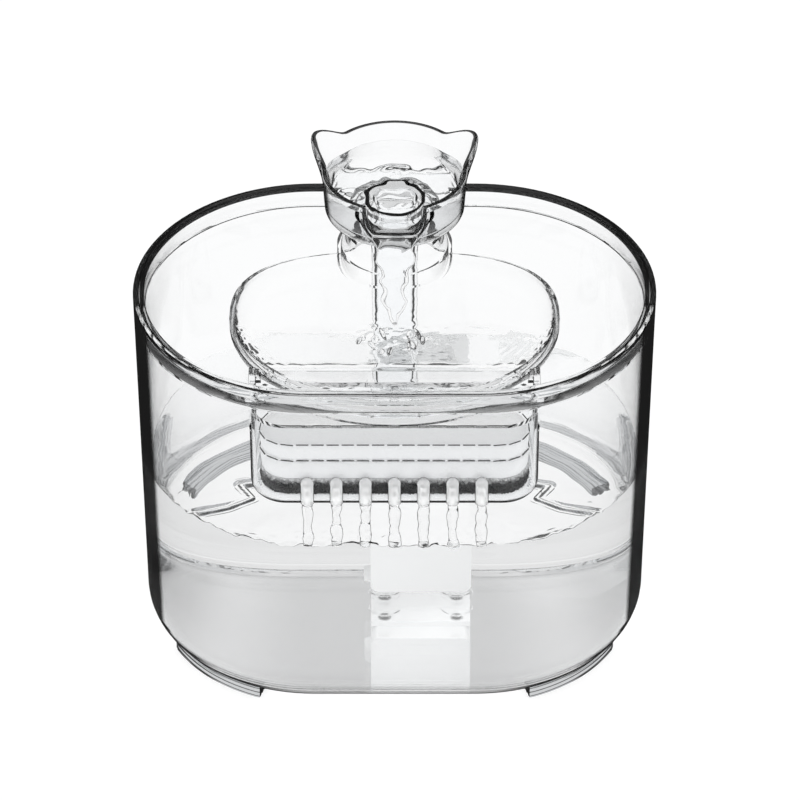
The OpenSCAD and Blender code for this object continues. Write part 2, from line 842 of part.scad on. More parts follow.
module back_cap() {
    color("ghostwhite")
        along_y(pump_x, pump_back - back_thick, rotor_z, motor_radius, back_thick, 64);
}

module cable_gland() {
    side = pump_x + pump_width / 2;
    color("gray")
        translate([side - 5, pump_back - 5, pump_low + gland_height])
            rotate([0, 90, 0]) {
                cylinder(r = gland_radius, h = 6, $fn = 32);
                translate([0, 0, 5])
                    cylinder(r1 = gland_radius + 1.4, r2 = gland_radius + 0.8, h = 2.4, $fn = 32);
            }
}

// The underside of the base plate where a suction cup's stem goes in.
function suction_place(x, y) =
    [pump_x + x * (pump_width / 2 - suction_radius + 1), y, pump_low - base_thick];

module pump_base() {
    length = suction_back + 3 - base_front;
    color("ghostwhite")
        difference() {
            translate([pump_x - pump_width / 2, base_front, pump_low - base_thick])
                cube([pump_width, length, base_thick]);
            for (x = [-1, 1], y = [suction_front, suction_back])
                translate(suction_place(x, y))
                    cylinder(r = stem_radius, h = 3 * base_thick, center = true, $fn = 32);
        }
}

module suction_cup(x, y) {
    color("gainsboro", 0.8)
        translate(suction_place(x, y) - [0, 0, suction_height])
            rotate_extrude($fn = 32)
            polygon([[0, 1.6], [suction_radius - 2, 1.2], [suction_radius - 0.4, 0],
                [suction_radius, 0.4], [suction_radius - 2, 2.2], [stem_radius + 1.4, 3],
                [stem_radius + 0.8, suction_height - 1], [stem_radius + 0.8, suction_height],
                [stem_radius, suction_height], [stem_radius, suction_height + base_thick],
                [0, suction_height + base_thick]]);
}

// Turns the pump half round about the riser, so that its closed back faces the front.
module turned() {
    translate([0, riser_y, 0])
        rotate([0, 0, 180])
            translate([0, -riser_y, 0])
                children();
}

tank();
foot(-1, -1);  // foot_front_left
foot(1, -1);  // foot_front_right
foot(-1, 1);  // foot_rear_left
foot(1, 1);  // foot_rear_right
tray();
spout_cup();
cup_seal();
filter_box();
outlet_nozzles();
top_cotton();
resin_layer();
carbon_layer();
bottom_cotton();
riser_tube();
outlet_adapter();
turned() pump_housing();
turned() pump_cover();
turned() cover_seal();
turned() intake_hood();
turned() intake_foam();
turned() flow_slider();
turned() impeller();
turned() rotor_magnet();
turned() rotor_shaft();
turned() front_bush();
turned() rear_bush();
turned() stator_core();
turned() stator_coils();
turned() drive_board();
turned() back_cap();
turned() pump_base();
turned() cable_gland();
turned() suction_cup(-1, suction_front);  // suction_cup_1
turned() suction_cup(1, suction_front);  // suction_cup_2
turned() suction_cup(-1, suction_back);  // suction_cup_3
turned() suction_cup(1, suction_back);  // suction_cup_4
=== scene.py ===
"""Clear pet water fountain, dressed for the studio.

The tank, tray, spout cup, filter box and riser are clear moulded plastic, the
water stands and runs through them, and the pump sits on its suction cups.
Sizes are in millimetres and turn into metres where a mesh is made.
"""

import logging
import math
from collections.abc import Iterable, Sequence
from dataclasses import dataclass, field
from enum import Enum
from typing import ClassVar

import bmesh
import bpy
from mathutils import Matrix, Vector, noise

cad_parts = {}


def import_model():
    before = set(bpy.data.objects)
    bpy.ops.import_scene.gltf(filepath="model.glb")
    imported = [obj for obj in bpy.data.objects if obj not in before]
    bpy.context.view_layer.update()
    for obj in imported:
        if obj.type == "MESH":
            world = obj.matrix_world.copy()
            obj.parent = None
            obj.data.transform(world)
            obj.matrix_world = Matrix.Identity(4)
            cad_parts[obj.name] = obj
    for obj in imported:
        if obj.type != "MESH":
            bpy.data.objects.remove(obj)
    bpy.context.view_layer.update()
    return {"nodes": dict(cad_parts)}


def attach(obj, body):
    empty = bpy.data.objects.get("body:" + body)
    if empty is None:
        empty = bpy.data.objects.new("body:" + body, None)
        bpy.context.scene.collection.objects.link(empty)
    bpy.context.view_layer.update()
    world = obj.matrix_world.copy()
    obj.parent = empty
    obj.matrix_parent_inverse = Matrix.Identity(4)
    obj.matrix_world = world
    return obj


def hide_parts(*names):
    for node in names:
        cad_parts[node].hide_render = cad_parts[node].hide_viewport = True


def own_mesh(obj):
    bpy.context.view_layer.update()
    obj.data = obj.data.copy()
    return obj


MM = 0.001
HALF_LENGTH = 28.8  # half the straight side of the racetrack that tank and tray share
LOG = logging.getLogger("fountain")

Point = tuple[float, float, float]
Ring = list[Point]
Colour = tuple[float, float, float]


class Body(str, Enum):
    """The bodies that a piece can ride on."""

    TANK = "tank"
    TRAY = "tray"
    CUP = "cup"
    FILTER = "filter"
    PAD = "pad"
    PUMP = "pump"
    ROTOR = "rotor"
    SLIDER = "slider"


class Slot(str, Enum):
    """The record's material slots."""

    TANK = "clear_tank"
    TRAY = "clear_tray"
    CUP = "clear_cup"
    BOX = "clear_box"
    FEET = "clear_feet"
    SILICONE = "silicone"
    COTTON = "cotton"
    CARBON = "carbon"
    FOAM = "foam"
    PUMP = "pump_plastic"
    ROTOR = "rotor_plastic"
    FERRITE = "ferrite"
    CERAMIC = "ceramic"
    RUBBER = "rubber"
    STEEL = "core_steel"
    COPPER = "copper"
    BOARD = "board"


# ------------------------------------------------------------------ node trees


class Graph:
    """Short calls that wire up one node tree."""

    def __init__(self, tree: bpy.types.NodeTree) -> None:
        """Keeps the tree that the other calls add to."""
        self.tree = tree

    def add(self, kind: str, **settings: object) -> bpy.types.Node:
        """Adds a node.

        Args:
            kind: The node's type name.
            **settings: Properties to set on the node.

        Returns:
            The new node.
        """
        node = self.tree.nodes.new(kind)
        for key, value in settings.items():
            setattr(node, key, value)
        return node

    def feed(self, target: bpy.types.NodeSocket, source: object) -> None:
        """Links a socket to a target, or sets the target's plain value.

        Args:
            target: The input socket.
            source: The socket that feeds it, or its value.
        """
        if isinstance(source, bpy.types.NodeSocket):
            self.tree.links.new(source, target)
        else:
            target.default_value = source

    def math(self, operation: str, *terms: object, clamp: bool = False) -> bpy.types.NodeSocket:
        """Adds a Math node.

        Args:
            operation: The node's operation.
            *terms: Sockets or numbers for its inputs, in order.
            clamp: Whether the result stays between 0 and 1.

        Returns:
            The node's output socket.
        """
        node = self.add("ShaderNodeMath", operation=operation, use_clamp=clamp)
        for index, term in enumerate(terms):
            self.feed(node.inputs[index], term)
        return node.outputs[0]

    def span(self, value: object, low: float, high: float, start: float, end: float) -> bpy.types.NodeSocket:
        """Maps a value smoothly from low..high to start..end.

        Args:
            value: The socket to map.
            low: The value that gives start.
            high: The value that gives end.
            start: The result at and below low.
            end: The result at and above high.

        Returns:
            The mapped value's socket.
        """
        node = self.add("ShaderNodeMapRange", interpolation_type="SMOOTHSTEP")
        for index, term in enumerate((value, low, high, start, end)):
            self.feed(node.inputs[index], term)
        return node.outputs[0]

    def blend(self, share: object, first: object, second: object) -> bpy.types.NodeSocket:
        """Mixes two colours.

        Args:
            share: The second colour's share.
            first: The colour at 0.
            second: The colour at 1.

        Returns:
            The mixed colour's socket.
        """
        node = self.add("ShaderNodeMix", data_type="RGBA")
        for index, term in zip((0, 6, 7), (share, first, second)):
            self.feed(node.inputs[index], term)
        return node.outputs[2]

    def shader_mix(self, share: object, first: object, second: object) -> bpy.types.NodeSocket:
        """Mixes two shaders.

        Args:
            share: The second shader's share.
            first: The shader at 0.
            second: The shader at 1.

        Returns:
            The mixed shader's socket.
        """
        node = self.add("ShaderNodeMixShader")
        for index, term in enumerate((share, first, second)):
            self.feed(node.inputs[index], term)
        return node.outputs[0]

    def place_xyz(self) -> tuple[bpy.types.NodeSocket, ...]:
        """The place on the piece as X, Y and Z sockets, in metres."""
        return self.split(self.add("ShaderNodeTexCoord").outputs["Object"])

    def split(self, vector: object) -> tuple[bpy.types.NodeSocket, ...]:
        """Takes a vector apart.

        Args:
            vector: The vector's socket.

        Returns:
            Its X, Y and Z sockets.
        """
        node = self.add("ShaderNodeSeparateXYZ")
        self.feed(node.inputs[0], vector)
        return tuple(node.outputs)

    def join(self, x: object = 0.0, y: object = 0.0, z: object = 0.0) -> bpy.types.NodeSocket:
        """Puts a vector together.

        Args:
            x: Its first part, a socket or a number.
            y: Its second part.
            z: Its third part.

        Returns:
            The vector's socket.
        """
        node = self.add("ShaderNodeCombineXYZ")
        for index, term in enumerate((x, y, z)):
            self.feed(node.inputs[index], term)
        return node.outputs[0]

    def vector(self, operation: str, *terms: object) -> bpy.types.NodeSocket:
        """Adds a Vector Math node.

        Args:
            operation: The node's operation.
            *terms: Sockets or values for its inputs, in order.

        Returns:
            The socket of the vector, or of the number where the result is one.
        """
        node = self.add("ShaderNodeVectorMath", operation=operation)
        for index, term in enumerate(terms):
            self.feed(node.inputs[index], term)
        return node.outputs["Value" if operation in ("LENGTH", "DOT_PRODUCT") else "Vector"]

    def every(self, first: object, *others: object) -> bpy.types.NodeSocket:
        """Multiplies shares, so that the result needs all of them.

        Args:
            first: The first share.
            *others: The other shares.

        Returns:
            The product's socket.
        """
        product = first
        for other in others:
            product = self.math("MULTIPLY", product, other)
        return product


def grey(value: float) -> tuple[float, float, float, float]:
    """A neutral colour with full alpha."""
    return (value, value, value, 1.0)


class SurfaceEffects:
    """Shader node groups that several finishes share, each built once."""

    _built: dict[str, bpy.types.NodeTree] = {}

    @classmethod
    def _group(
        cls, name: str, inputs: dict[str, float], outputs: Iterable[str]
    ) -> tuple[bpy.types.NodeTree, Graph, bpy.types.Node, bpy.types.Node]:
        """Starts a group and remembers it by name.

        Args:
            name: The group's name.
            inputs: Its inputs with their plain values.
            outputs: Its outputs.

        Returns:
            The group's tree, its graph, its input node and its output node.
        """
        tree = bpy.data.node_groups.new(name, "ShaderNodeTree")
        for key, value in inputs.items():
            socket = tree.interface.new_socket(key, in_out="INPUT", socket_type="NodeSocketFloat")
            socket.default_value = value
        for key in outputs:
            tree.interface.new_socket(key, in_out="OUTPUT", socket_type="NodeSocketFloat")
        cls._built[name] = tree
        graph = Graph(tree)
        return tree, graph, graph.add("NodeGroupInput"), graph.add("NodeGroupOutput")

    @classmethod
    def moulded_flow(cls) -> bpy.types.NodeTree:
        """Soft waves that a melt leaves in a moulded wall, as a height.

        Returns:
            The group's tree.
        """
        if "moulded_flow" in cls._built:
            return cls._built["moulded_flow"]
        inputs = {"Scale": 30.0, "Stretch": 3.0}
        tree, graph, entry, leave = cls._group("moulded_flow", inputs, ["Height"])
        x, y, z = graph.place_xyz()
        drawn = graph.join(x, y, graph.math("DIVIDE", z, entry.outputs["Stretch"]))
        waves = graph.add("ShaderNodeTexNoise")
        graph.feed(waves.inputs["Vector"], drawn)
        graph.feed(waves.inputs["Scale"], entry.outputs["Scale"])
        waves.inputs["Detail"].default_value = 1.0
        graph.feed(leave.inputs["Height"], waves.outputs["Fac"])
        return tree

    @classmethod
    def racetrack_reach(cls) -> bpy.types.NodeTree:
        """Distance from the racetrack's middle line in plan, in metres.

        Returns:
            The group's tree.
        """
        if "racetrack_reach" in cls._built:
            return cls._built["racetrack_reach"]
        tree, graph, entry, leave = cls._group("racetrack_reach", {"Half": HALF_LENGTH * MM}, ["Reach"])
        x, y, _ = graph.place_xyz()
        along = graph.math("SUBTRACT", graph.math("ABSOLUTE", x), entry.outputs["Half"])
        past = graph.math("POWER", graph.math("MAXIMUM", along, 0.0), 2.0)
        across = graph.math("POWER", y, 2.0)
        graph.feed(leave.inputs["Reach"], graph.math("SQRT", graph.math("ADD", past, across)))
        return tree

    @classmethod
    def handling_film(cls) -> bpy.types.NodeTree:
        """Faint patches of film and dust from handling, as a mask.

        Returns:
            The group's tree.
        """
        if "handling_film" in cls._built:
            return cls._built["handling_film"]
        inputs = {"Scale": 40.0, "Amount": 0.3}
        tree, graph, entry, leave = cls._group("handling_film", inputs, ["Mask"])
        patches = graph.add("ShaderNodeTexNoise")
        graph.feed(patches.inputs["Vector"], graph.add("ShaderNodeTexCoord").outputs["Object"])
        graph.feed(patches.inputs["Scale"], entry.outputs["Scale"])
        patches.inputs["Detail"].default_value = 6.0
        share = graph.span(patches.outputs["Fac"], 0.4, 0.7, 0.0, 1.0)
        graph.feed(leave.inputs["Mask"], graph.math("MULTIPLY", share, entry.outputs["Amount"]))
        return tree

    @classmethod
    def fine_grain(cls) -> bpy.types.NodeTree:
        """A small rounded grain, as a height and a mask.

        Returns:
            The group's tree.
        """
        if "fine_grain" in cls._built:
            return cls._built["fine_grain"]
        tree, graph, entry, leave = cls._group("fine_grain", {"Scale": 900.0}, ["Height", "Mask"])
        cells = graph.add("ShaderNodeTexVoronoi")
        graph.feed(cells.inputs["Vector"], graph.add("ShaderNodeTexCoord").outputs["Object"])
        graph.feed(cells.inputs["Scale"], entry.outputs["Scale"])
        graph.feed(leave.inputs["Height"], graph.span(cells.outputs["Distance"], 0.0, 0.6, 1.0, 0.0))
        graph.feed(leave.inputs["Mask"], graph.span(cells.outputs["Distance"], 0.2, 0.7, 1.0, 0.0))
        return tree


def placed_group(graph: Graph, tree: bpy.types.NodeTree, **values: float) -> bpy.types.Node:
    """Places a shader group in a material.

    Args:
        graph: The material's graph.
        tree: The group's tree.
        **values: Plain values for its inputs, by lower-case name.

    Returns:
        The group's node.
    """
    node = graph.add("ShaderNodeGroup")
    node.node_tree = tree
    for key, value in values.items():
        node.inputs[key.capitalize()].default_value = value
    return node


def new_material(name: str) -> tuple[bpy.types.Material, Graph, bpy.types.Node, bpy.types.Node]:
    """Makes an empty material.

    Args:
        name: The material's name.

    Returns:
        The material, its graph, its Principled node and its output node.
    """
    material = bpy.data.materials.new(name)
    material.use_nodes = True
    material.node_tree.nodes.clear()
    graph = Graph(material.node_tree)
    output = graph.add("ShaderNodeOutputMaterial")
    principled = graph.add("ShaderNodeBsdfPrincipled")
    return material, graph, principled, output


# -------------------------------------------------------------------- finishes


@dataclass(frozen=True)
class PaintedShadeBand:
    """How much painted shade a clear wall gets, up to a height, where it turns edge-on.

    A facing value is 0 where the wall is seen square and 1 where it is edge-on.
    """

    below: float
    start: float
    full: float


@dataclass(frozen=True)
class ClearFinish:
    """Clear plastic, silicone or water: bends light, with painted shade where it turns edge-on.

    Heights and reaches are in millimetres, and a line or lean of 0 is left out.

    Attributes:
        name: The material's name.
        tint: Its colour.
        ior: Its index of refraction, which is low for a piece that stands in water.
        clarity: Share of the light that passes.
        roughness: Roughness of its faces.
        wave_scale: Scale of the waves that moulding or flow leaves in its faces.
        wave_depth: Depth of those waves.
        edges: How much painted shade it gets where it turns edge-on, from the lowest band up.
        edge_share: The most painted shade there.
        foot_line: Height below which its upright faces are painted dark.
        top_line: Height above which its upward faces are painted dark.
        flank_from: Height above which the flanks of its waves have painted shade.
        lean: How far its rim's top leans outwards when it is judged edge-on for its painted shade.
        inside_clear: Whether its inner faces stay free of painted shade below the rim.
    """

    name: str
    tint: Colour = (1.0, 1.0, 1.0)
    ior: float = 1.49
    clarity: float = 1.0
    roughness: float = 0.0
    wave_scale: float = 30.0
    wave_depth: float = 0.0
    edges: tuple[PaintedShadeBand, ...] = ()
    edge_share: float = 0.97
    foot_line: float = 0.0
    top_line: float = 0.0
    flank_from: float = 0.0
    lean: float = 0.0
    inside_clear: bool = False

    # Grey of the painted shade at the edges.
    PAINTED_SHADE_GREY: ClassVar[float] = 0.012
    RIM: ClassVar[tuple[float, float]] = (142.6, 144.2)
    RIM_REACH: ClassVar[float] = 57.5
    RIM_TURN: ClassVar[tuple[float, float]] = (0.385, 0.4)
    LEVEL: ClassVar[tuple[float, float]] = (0.93, 0.985)
    FLANK: ClassVar[tuple[float, float]] = (0.82, 0.9)
    WALLS_SEEN_THROUGH: ClassVar[float] = 3.5

    def banded(self, graph: Graph, height: bpy.types.NodeSocket) -> bpy.types.NodeSocket:
        """Share of painted shade from how far the wall turns edge-on in its band.

        Args:
            graph: The material's graph.
            height: The place's height.

        Returns:
            The share's socket.
        """
        facing = graph.add("ShaderNodeLayerWeight").outputs["Facing"]
        start: object = self.edges[0].start
        full: object = self.edges[0].full
        for low, high in zip(self.edges, self.edges[1:]):
            step = graph.math("GREATER_THAN", height, low.below * MM)
            start = graph.math("MULTIPLY_ADD", step, high.start - low.start, start)
            full = graph.math("MULTIPLY_ADD", step, high.full - low.full, full)
        return graph.span(facing, start, full, 0.0, self.edge_share)

    def in_rim(self, graph: Graph, height: bpy.types.NodeSocket) -> bpy.types.NodeSocket:
        """Whether a place is at the rim's height.

        Args:
            graph: The material's graph.
            height: The place's height.

        Returns:
            The socket, 1 in the rim and 0 elsewhere.
        """
        low, high = self.RIM
        above = graph.math("GREATER_THAN", height, low * MM)
        return graph.every(above, graph.math("LESS_THAN", height, high * MM))

    def painted_rim_shade(
        self,
        graph: Graph,
        place: tuple[bpy.types.NodeSocket, ...],
        turned: bpy.types.NodeSocket,
        share: bpy.types.NodeSocket,
    ) -> bpy.types.NodeSocket:
        """Paints shade on the rim's top as if it leaned outwards all round.

        Args:
            graph: The material's graph.
            place: The place's X, Y and Z.
            turned: The face's normal.
            share: The share of painted shade so far.

        Returns:
            The new share.
        """
        x, y, height = place
        past = graph.math("MAXIMUM", graph.math("SUBTRACT", graph.math("ABSOLUTE", x), HALF_LENGTH * MM), 0.0)
        spoke = graph.join(graph.math("MULTIPLY", past, graph.math("SIGN", x)), y)
        outward = graph.vector("NORMALIZE", spoke)
        beyond = graph.math("GREATER_THAN", graph.vector("LENGTH", spoke), self.RIM_REACH * MM)
        rimmed = graph.every(self.in_rim(graph, height), beyond)
        push = graph.add("ShaderNodeVectorMath", operation="SCALE")
        graph.feed(push.inputs[0], outward)
        push.inputs["Scale"].default_value = self.lean
        leaning = graph.vector("NORMALIZE", graph.vector("ADD", push.outputs[0], (0.0, 0.0, 1.0)))
        # Painted shade on the rim's top, from the turn of the leaned normal.
        leaned = graph.add("ShaderNodeLayerWeight")
        graph.feed(leaned.inputs["Normal"], leaning)
        top = graph.every(rimmed, graph.span(leaned.outputs["Facing"], *self.RIM_TURN, 0.0, self.edge_share))
        if self.inside_clear:
            faces_out = graph.math("GREATER_THAN", graph.vector("DOT_PRODUCT", turned, outward), -0.5)
            share = graph.every(share, graph.math("MAXIMUM", rimmed, faces_out))
        return graph.math("MAXIMUM", share, top)

    def painted_edge_shade(self, graph: Graph) -> bpy.types.NodeSocket:
        """Share of painted shade at each place, from the wall's turn and height.

        Args:
            graph: The material's graph.

        Returns:
            The share's socket.
        """
        place = graph.place_xyz()
        height = place[2]
        geometry = graph.add("ShaderNodeNewGeometry")
        upward = graph.split(geometry.outputs["Normal"])[2]
        tilt = graph.math("ABSOLUTE", upward)
        steep = graph.span(tilt, *self.LEVEL, 1.0, 0.0)
        drawn = graph.math("MAXIMUM", steep, self.in_rim(graph, height))
        # Painted shade where the wall turns edge-on, on its steep faces and in the rim band.
        share = graph.every(self.banded(graph, height), drawn)
        if self.flank_from > 0:
            # Painted shade on the steep flanks of waves above the flank height.
            slope = graph.span(upward, *self.FLANK, 0.85, 0.0)
            risen = graph.math("GREATER_THAN", height, self.flank_from * MM)
            flank = graph.every(slope, graph.math("GREATER_THAN", upward, 0.2), risen)
            share = graph.math("MAXIMUM", share, flank)
        if self.lean > 0:
            share = self.painted_rim_shade(graph, place, geometry.outputs["Normal"], share)
        if self.top_line > 0:
            # A painted dark band on the upward faces above the top line.
            risen = graph.math("GREATER_THAN", height, self.top_line * MM)
            lip = graph.every(graph.math("GREATER_THAN", upward, 0.78), risen, 0.93)
            share = graph.math("MAXIMUM", share, lip)
        if self.foot_line > 0:
            # A painted dark band on the upright faces below the foot line.
            low_part = graph.math("LESS_THAN", height, self.foot_line * MM)
            foot = graph.every(graph.math("LESS_THAN", tilt, 0.9), low_part, 0.95)
            share = graph.math("MAXIMUM", share, foot)
        front = graph.math("SUBTRACT", 1.0, geometry.outputs["Backfacing"])
        depth = graph.add("ShaderNodeLightPath").outputs["Transmission Depth"]
        return graph.every(share, front, graph.math("LESS_THAN", depth, self.WALLS_SEEN_THROUGH))

    def material(self) -> bpy.types.Material:
        """Builds the finish.

        Returns:
            The material: glass with painted shade where it turns edge-on, and which casts no shadow.
        """
        material, graph, glass, output = new_material(self.name)
        glass.inputs["Base Color"].default_value = (*self.tint, 1.0)
        glass.inputs["Roughness"].default_value = self.roughness
        glass.inputs["IOR"].default_value = self.ior
        glass.inputs["Transmission Weight"].default_value = self.clarity
        if self.wave_depth > 0:
            flow = placed_group(graph, SurfaceEffects.moulded_flow(), scale=self.wave_scale)
            bump = graph.add("ShaderNodeBump")
            bump.inputs["Strength"].default_value = 1.0
            bump.inputs["Distance"].default_value = self.wave_depth * MM
            graph.feed(bump.inputs["Height"], flow.outputs["Height"])
            graph.feed(glass.inputs["Normal"], bump.outputs[0])
        shown = glass.outputs[0]
        if self.edges:
            # A near-black diffuse, mixed in as painted shade where the wall turns edge-on.
            rim = graph.add("ShaderNodeBsdfDiffuse")
            rim.inputs["Color"].default_value = grey(self.PAINTED_SHADE_GREY)
            shown = graph.shader_mix(self.painted_edge_shade(graph), shown, rim.outputs[0])
        unshaded = graph.add("ShaderNodeBsdfTransparent")
        unshaded.inputs["Color"].default_value = grey(1.0)
        path = graph.add("ShaderNodeLightPath")
        mixed = graph.shader_mix(path.outputs["Is Shadow Ray"], shown, unshaded.outputs[0])
        graph.feed(output.inputs["Surface"], mixed)
        return material


@dataclass(frozen=True)
class SolidFinish:
    """A plastic, rubber, metal or fibre finish with grain and handling film.

    Attributes:
        name: The material's name.
        colour: Its clean colour.
        film_colour: Its colour under the film, and above the fade.
        roughness: Roughness where it is clean.
        metallic: 1 for a metal.
        grain_scale: Scale of its grain.
        grain_depth: Depth of its grain in millimetres.
        film: The most that the film covers.
        coat: Weight of a clear coat.
        fade_from: Height in millimetres where it starts to fade.
        fade_to: Height where it has faded, or 0 for none.
    """

    name: str
    colour: Colour
    film_colour: Colour
    roughness: float = 0.4
    metallic: float = 0.0
    grain_scale: float = 900.0
    grain_depth: float = 0.02
    film: float = 0.3
    coat: float = 0.0
    fade_from: float = 0.0
    fade_to: float = 0.0

    FADE_GRAIN: ClassVar[float] = 0.8
    FILM_ROUGHNESS: ClassVar[float] = 0.25

    def material(self) -> bpy.types.Material:
        """Builds the finish.

        Returns:
            The material.
        """
        material, graph, skin, output = new_material(self.name)
        film = placed_group(graph, SurfaceEffects.handling_film(), scale=60.0, amount=self.film)
        grain = placed_group(graph, SurfaceEffects.fine_grain(), scale=self.grain_scale)
        share = film.outputs["Mask"]
        if self.fade_to > self.fade_from:
            z = graph.place_xyz()[2]
            height = graph.math("MULTIPLY_ADD", grain.outputs["Mask"], self.FADE_GRAIN * MM, z)
            fade = graph.span(height, self.fade_from * MM, self.fade_to * MM, 0.0, 1.0)
            share = graph.math("MAXIMUM", share, fade)
        colour = graph.blend(share, (*self.colour, 1.0), (*self.film_colour, 1.0))
        graph.feed(skin.inputs["Base Color"], colour)
        rough = graph.math("MULTIPLY_ADD", film.outputs["Mask"], self.FILM_ROUGHNESS, self.roughness)
        graph.feed(skin.inputs["Roughness"], rough)
        skin.inputs["Metallic"].default_value = self.metallic
        skin.inputs["Coat Weight"].default_value = self.coat
        bump = graph.add("ShaderNodeBump")
        bump.inputs["Strength"].default_value = 0.6
        bump.inputs["Distance"].default_value = self.grain_depth * MM
        graph.feed(bump.inputs["Height"], grain.outputs["Height"])
        graph.feed(skin.inputs["Normal"], bump.outputs[0])
        graph.feed(output.inputs["Surface"], skin.outputs[0])
        return material


CLEAR_TANK = ClearFinish(
    "clear_tank_wall",
    (0.995, 0.998, 1.0),
    ior=1.32,
    wave_scale=22.0,
    wave_depth=0.03,
    edges=(PaintedShadeBand(12.0, 0.62, 0.72), PaintedShadeBand(142.6, 0.685, 0.735), PaintedShadeBand(200.0, 0.47, 0.53)),
    lean=0.27,
    inside_clear=True,
)
CLEAR_TRAY = ClearFinish(
    "clear_tray_wall",
    (0.995, 0.998, 1.0),
    ior=1.22,
    wave_scale=22.0,
    wave_depth=0.03,
    edges=(PaintedShadeBand(142.6, 0.84, 0.94), PaintedShadeBand(143.9, 0.39, 0.43), PaintedShadeBand(200.0, 0.66, 0.84)),
    lean=0.27,
)
# The cup's rim top is painted dark above its top line.
CLEAR_CUP = ClearFinish(
    "clear_cup_wall",
    (0.99, 0.995, 1.0),
    ior=1.22,
    wave_scale=60.0,
    wave_depth=0.02,
    edges=(PaintedShadeBand(152.0, 1.5, 2.0), PaintedShadeBand(200.0, 0.66, 0.8)),
    top_line=163.0,
)
# The box's foot is painted dark below its foot line.
CLEAR_BOX = ClearFinish(
    "clear_box_wall",
    (0.99, 0.995, 1.0),
    ior=1.35,
    wave_scale=60.0,
    wave_depth=0.02,
    edges=(PaintedShadeBand(200.0, 0.66, 0.8),),
    foot_line=93.0,
)
CLEAR_NOZZLE = ClearFinish(
    "clear_nozzle", ior=1.3, clarity=0.72, roughness=0.04, edges=(PaintedShadeBand(200.0, 0.58, 0.75),)
)
CLEAR_RISER = ClearFinish(
    "clear_riser",
    (0.99, 0.995, 1.0),
    ior=1.07,
    wave_scale=60.0,
    wave_depth=0.02,
    edges=(PaintedShadeBand(134.0, 1.5, 2.0), PaintedShadeBand(200.0, 0.72, 0.9)),
)
# The feet's grey tint is painted shade that darkens the clear rails and their ridges.
CLEAR_FEET = ClearFinish("clear_feet", (0.62, 0.63, 0.64), ior=1.45, edges=(PaintedShadeBand(20.0, 0.24, 0.4),))
# The waters' wave flanks above their flank heights have painted shade.
STILL_WATER = ClearFinish(
    "still_water", ior=1.333, edges=(PaintedShadeBand(73.0, 1.5, 2.0), PaintedShadeBand(200.0, 0.5, 0.62)), flank_from=73.0
)
BASIN_WATER = ClearFinish("basin_water", ior=1.13, edges=(PaintedShadeBand(200.0, 0.62, 0.8),), flank_from=135.5)
CUP_WATER = ClearFinish("cup_water", ior=1.2)
RUNNING_WATER = ClearFinish(
    "running_water", ior=1.22, wave_scale=260.0, wave_depth=0.22, edges=(PaintedShadeBand(200.0, 0.62, 0.8),)
)
SILICONE = ClearFinish("milky_silicone", (0.93, 0.94, 0.94), ior=1.08, roughness=0.25)
SUCTION = ClearFinish("clear_silicone", (0.985, 0.985, 0.985), ior=1.03, roughness=0.03)
PUMP_PLASTIC = SolidFinish("pump_plastic", (0.97, 0.975, 0.975), (0.94, 0.945, 0.945), 0.35)
PALE_RUBBER = SolidFinish("pale_rubber", (0.88, 0.885, 0.885), (0.82, 0.82, 0.82), 0.6)
ROTOR_PLASTIC = SolidFinish("rotor_plastic", (0.75, 0.76, 0.76), (0.6, 0.62, 0.62), 0.3)
FERRITE = SolidFinish("ferrite", (0.035, 0.035, 0.04), (0.07, 0.07, 0.07), 0.5, grain_depth=0.04)
CERAMIC = SolidFinish("ceramic", (0.85, 0.84, 0.8), (0.8, 0.79, 0.75), 0.15, grain_depth=0.005, coat=0.5)
RUBBER = SolidFinish("rubber", (0.04, 0.04, 0.042), (0.1, 0.1, 0.1), 0.7, grain_depth=0.03)
STEEL = SolidFinish("core_steel", (0.5, 0.5, 0.52), (0.3, 0.29, 0.28), 0.35, metallic=1.0)
COPPER = SolidFinish("copper_wire", (0.72, 0.3, 0.16), (0.5, 0.2, 0.1), 0.25, metallic=1.0, coat=0.8)
BOARD = SolidFinish("board_green", (0.02, 0.16, 0.07), (0.05, 0.2, 0.1), 0.35, coat=0.4)
FOAM = SolidFinish("open_foam", (0.8, 0.81, 0.81), (0.66, 0.67, 0.67), 0.95, grain_depth=0.25)
COTTON = SolidFinish("filter_cotton", (0.985, 0.985, 0.985), (0.96, 0.96, 0.96), 0.95, grain_depth=0.12)
CARBON = SolidFinish(
    "carbon_grain",
    (0.05, 0.05, 0.05),
    (0.8, 0.8, 0.8),
    0.5,
    film=0.12,
    grain_scale=700.0,
    fade_from=99.0,
    fade_to=101.8,
)
THREAD = SolidFinish("seam_thread", (0.05, 0.05, 0.05), (0.2, 0.2, 0.2), 0.8)


# ---------------------------------------------------------------------- meshes


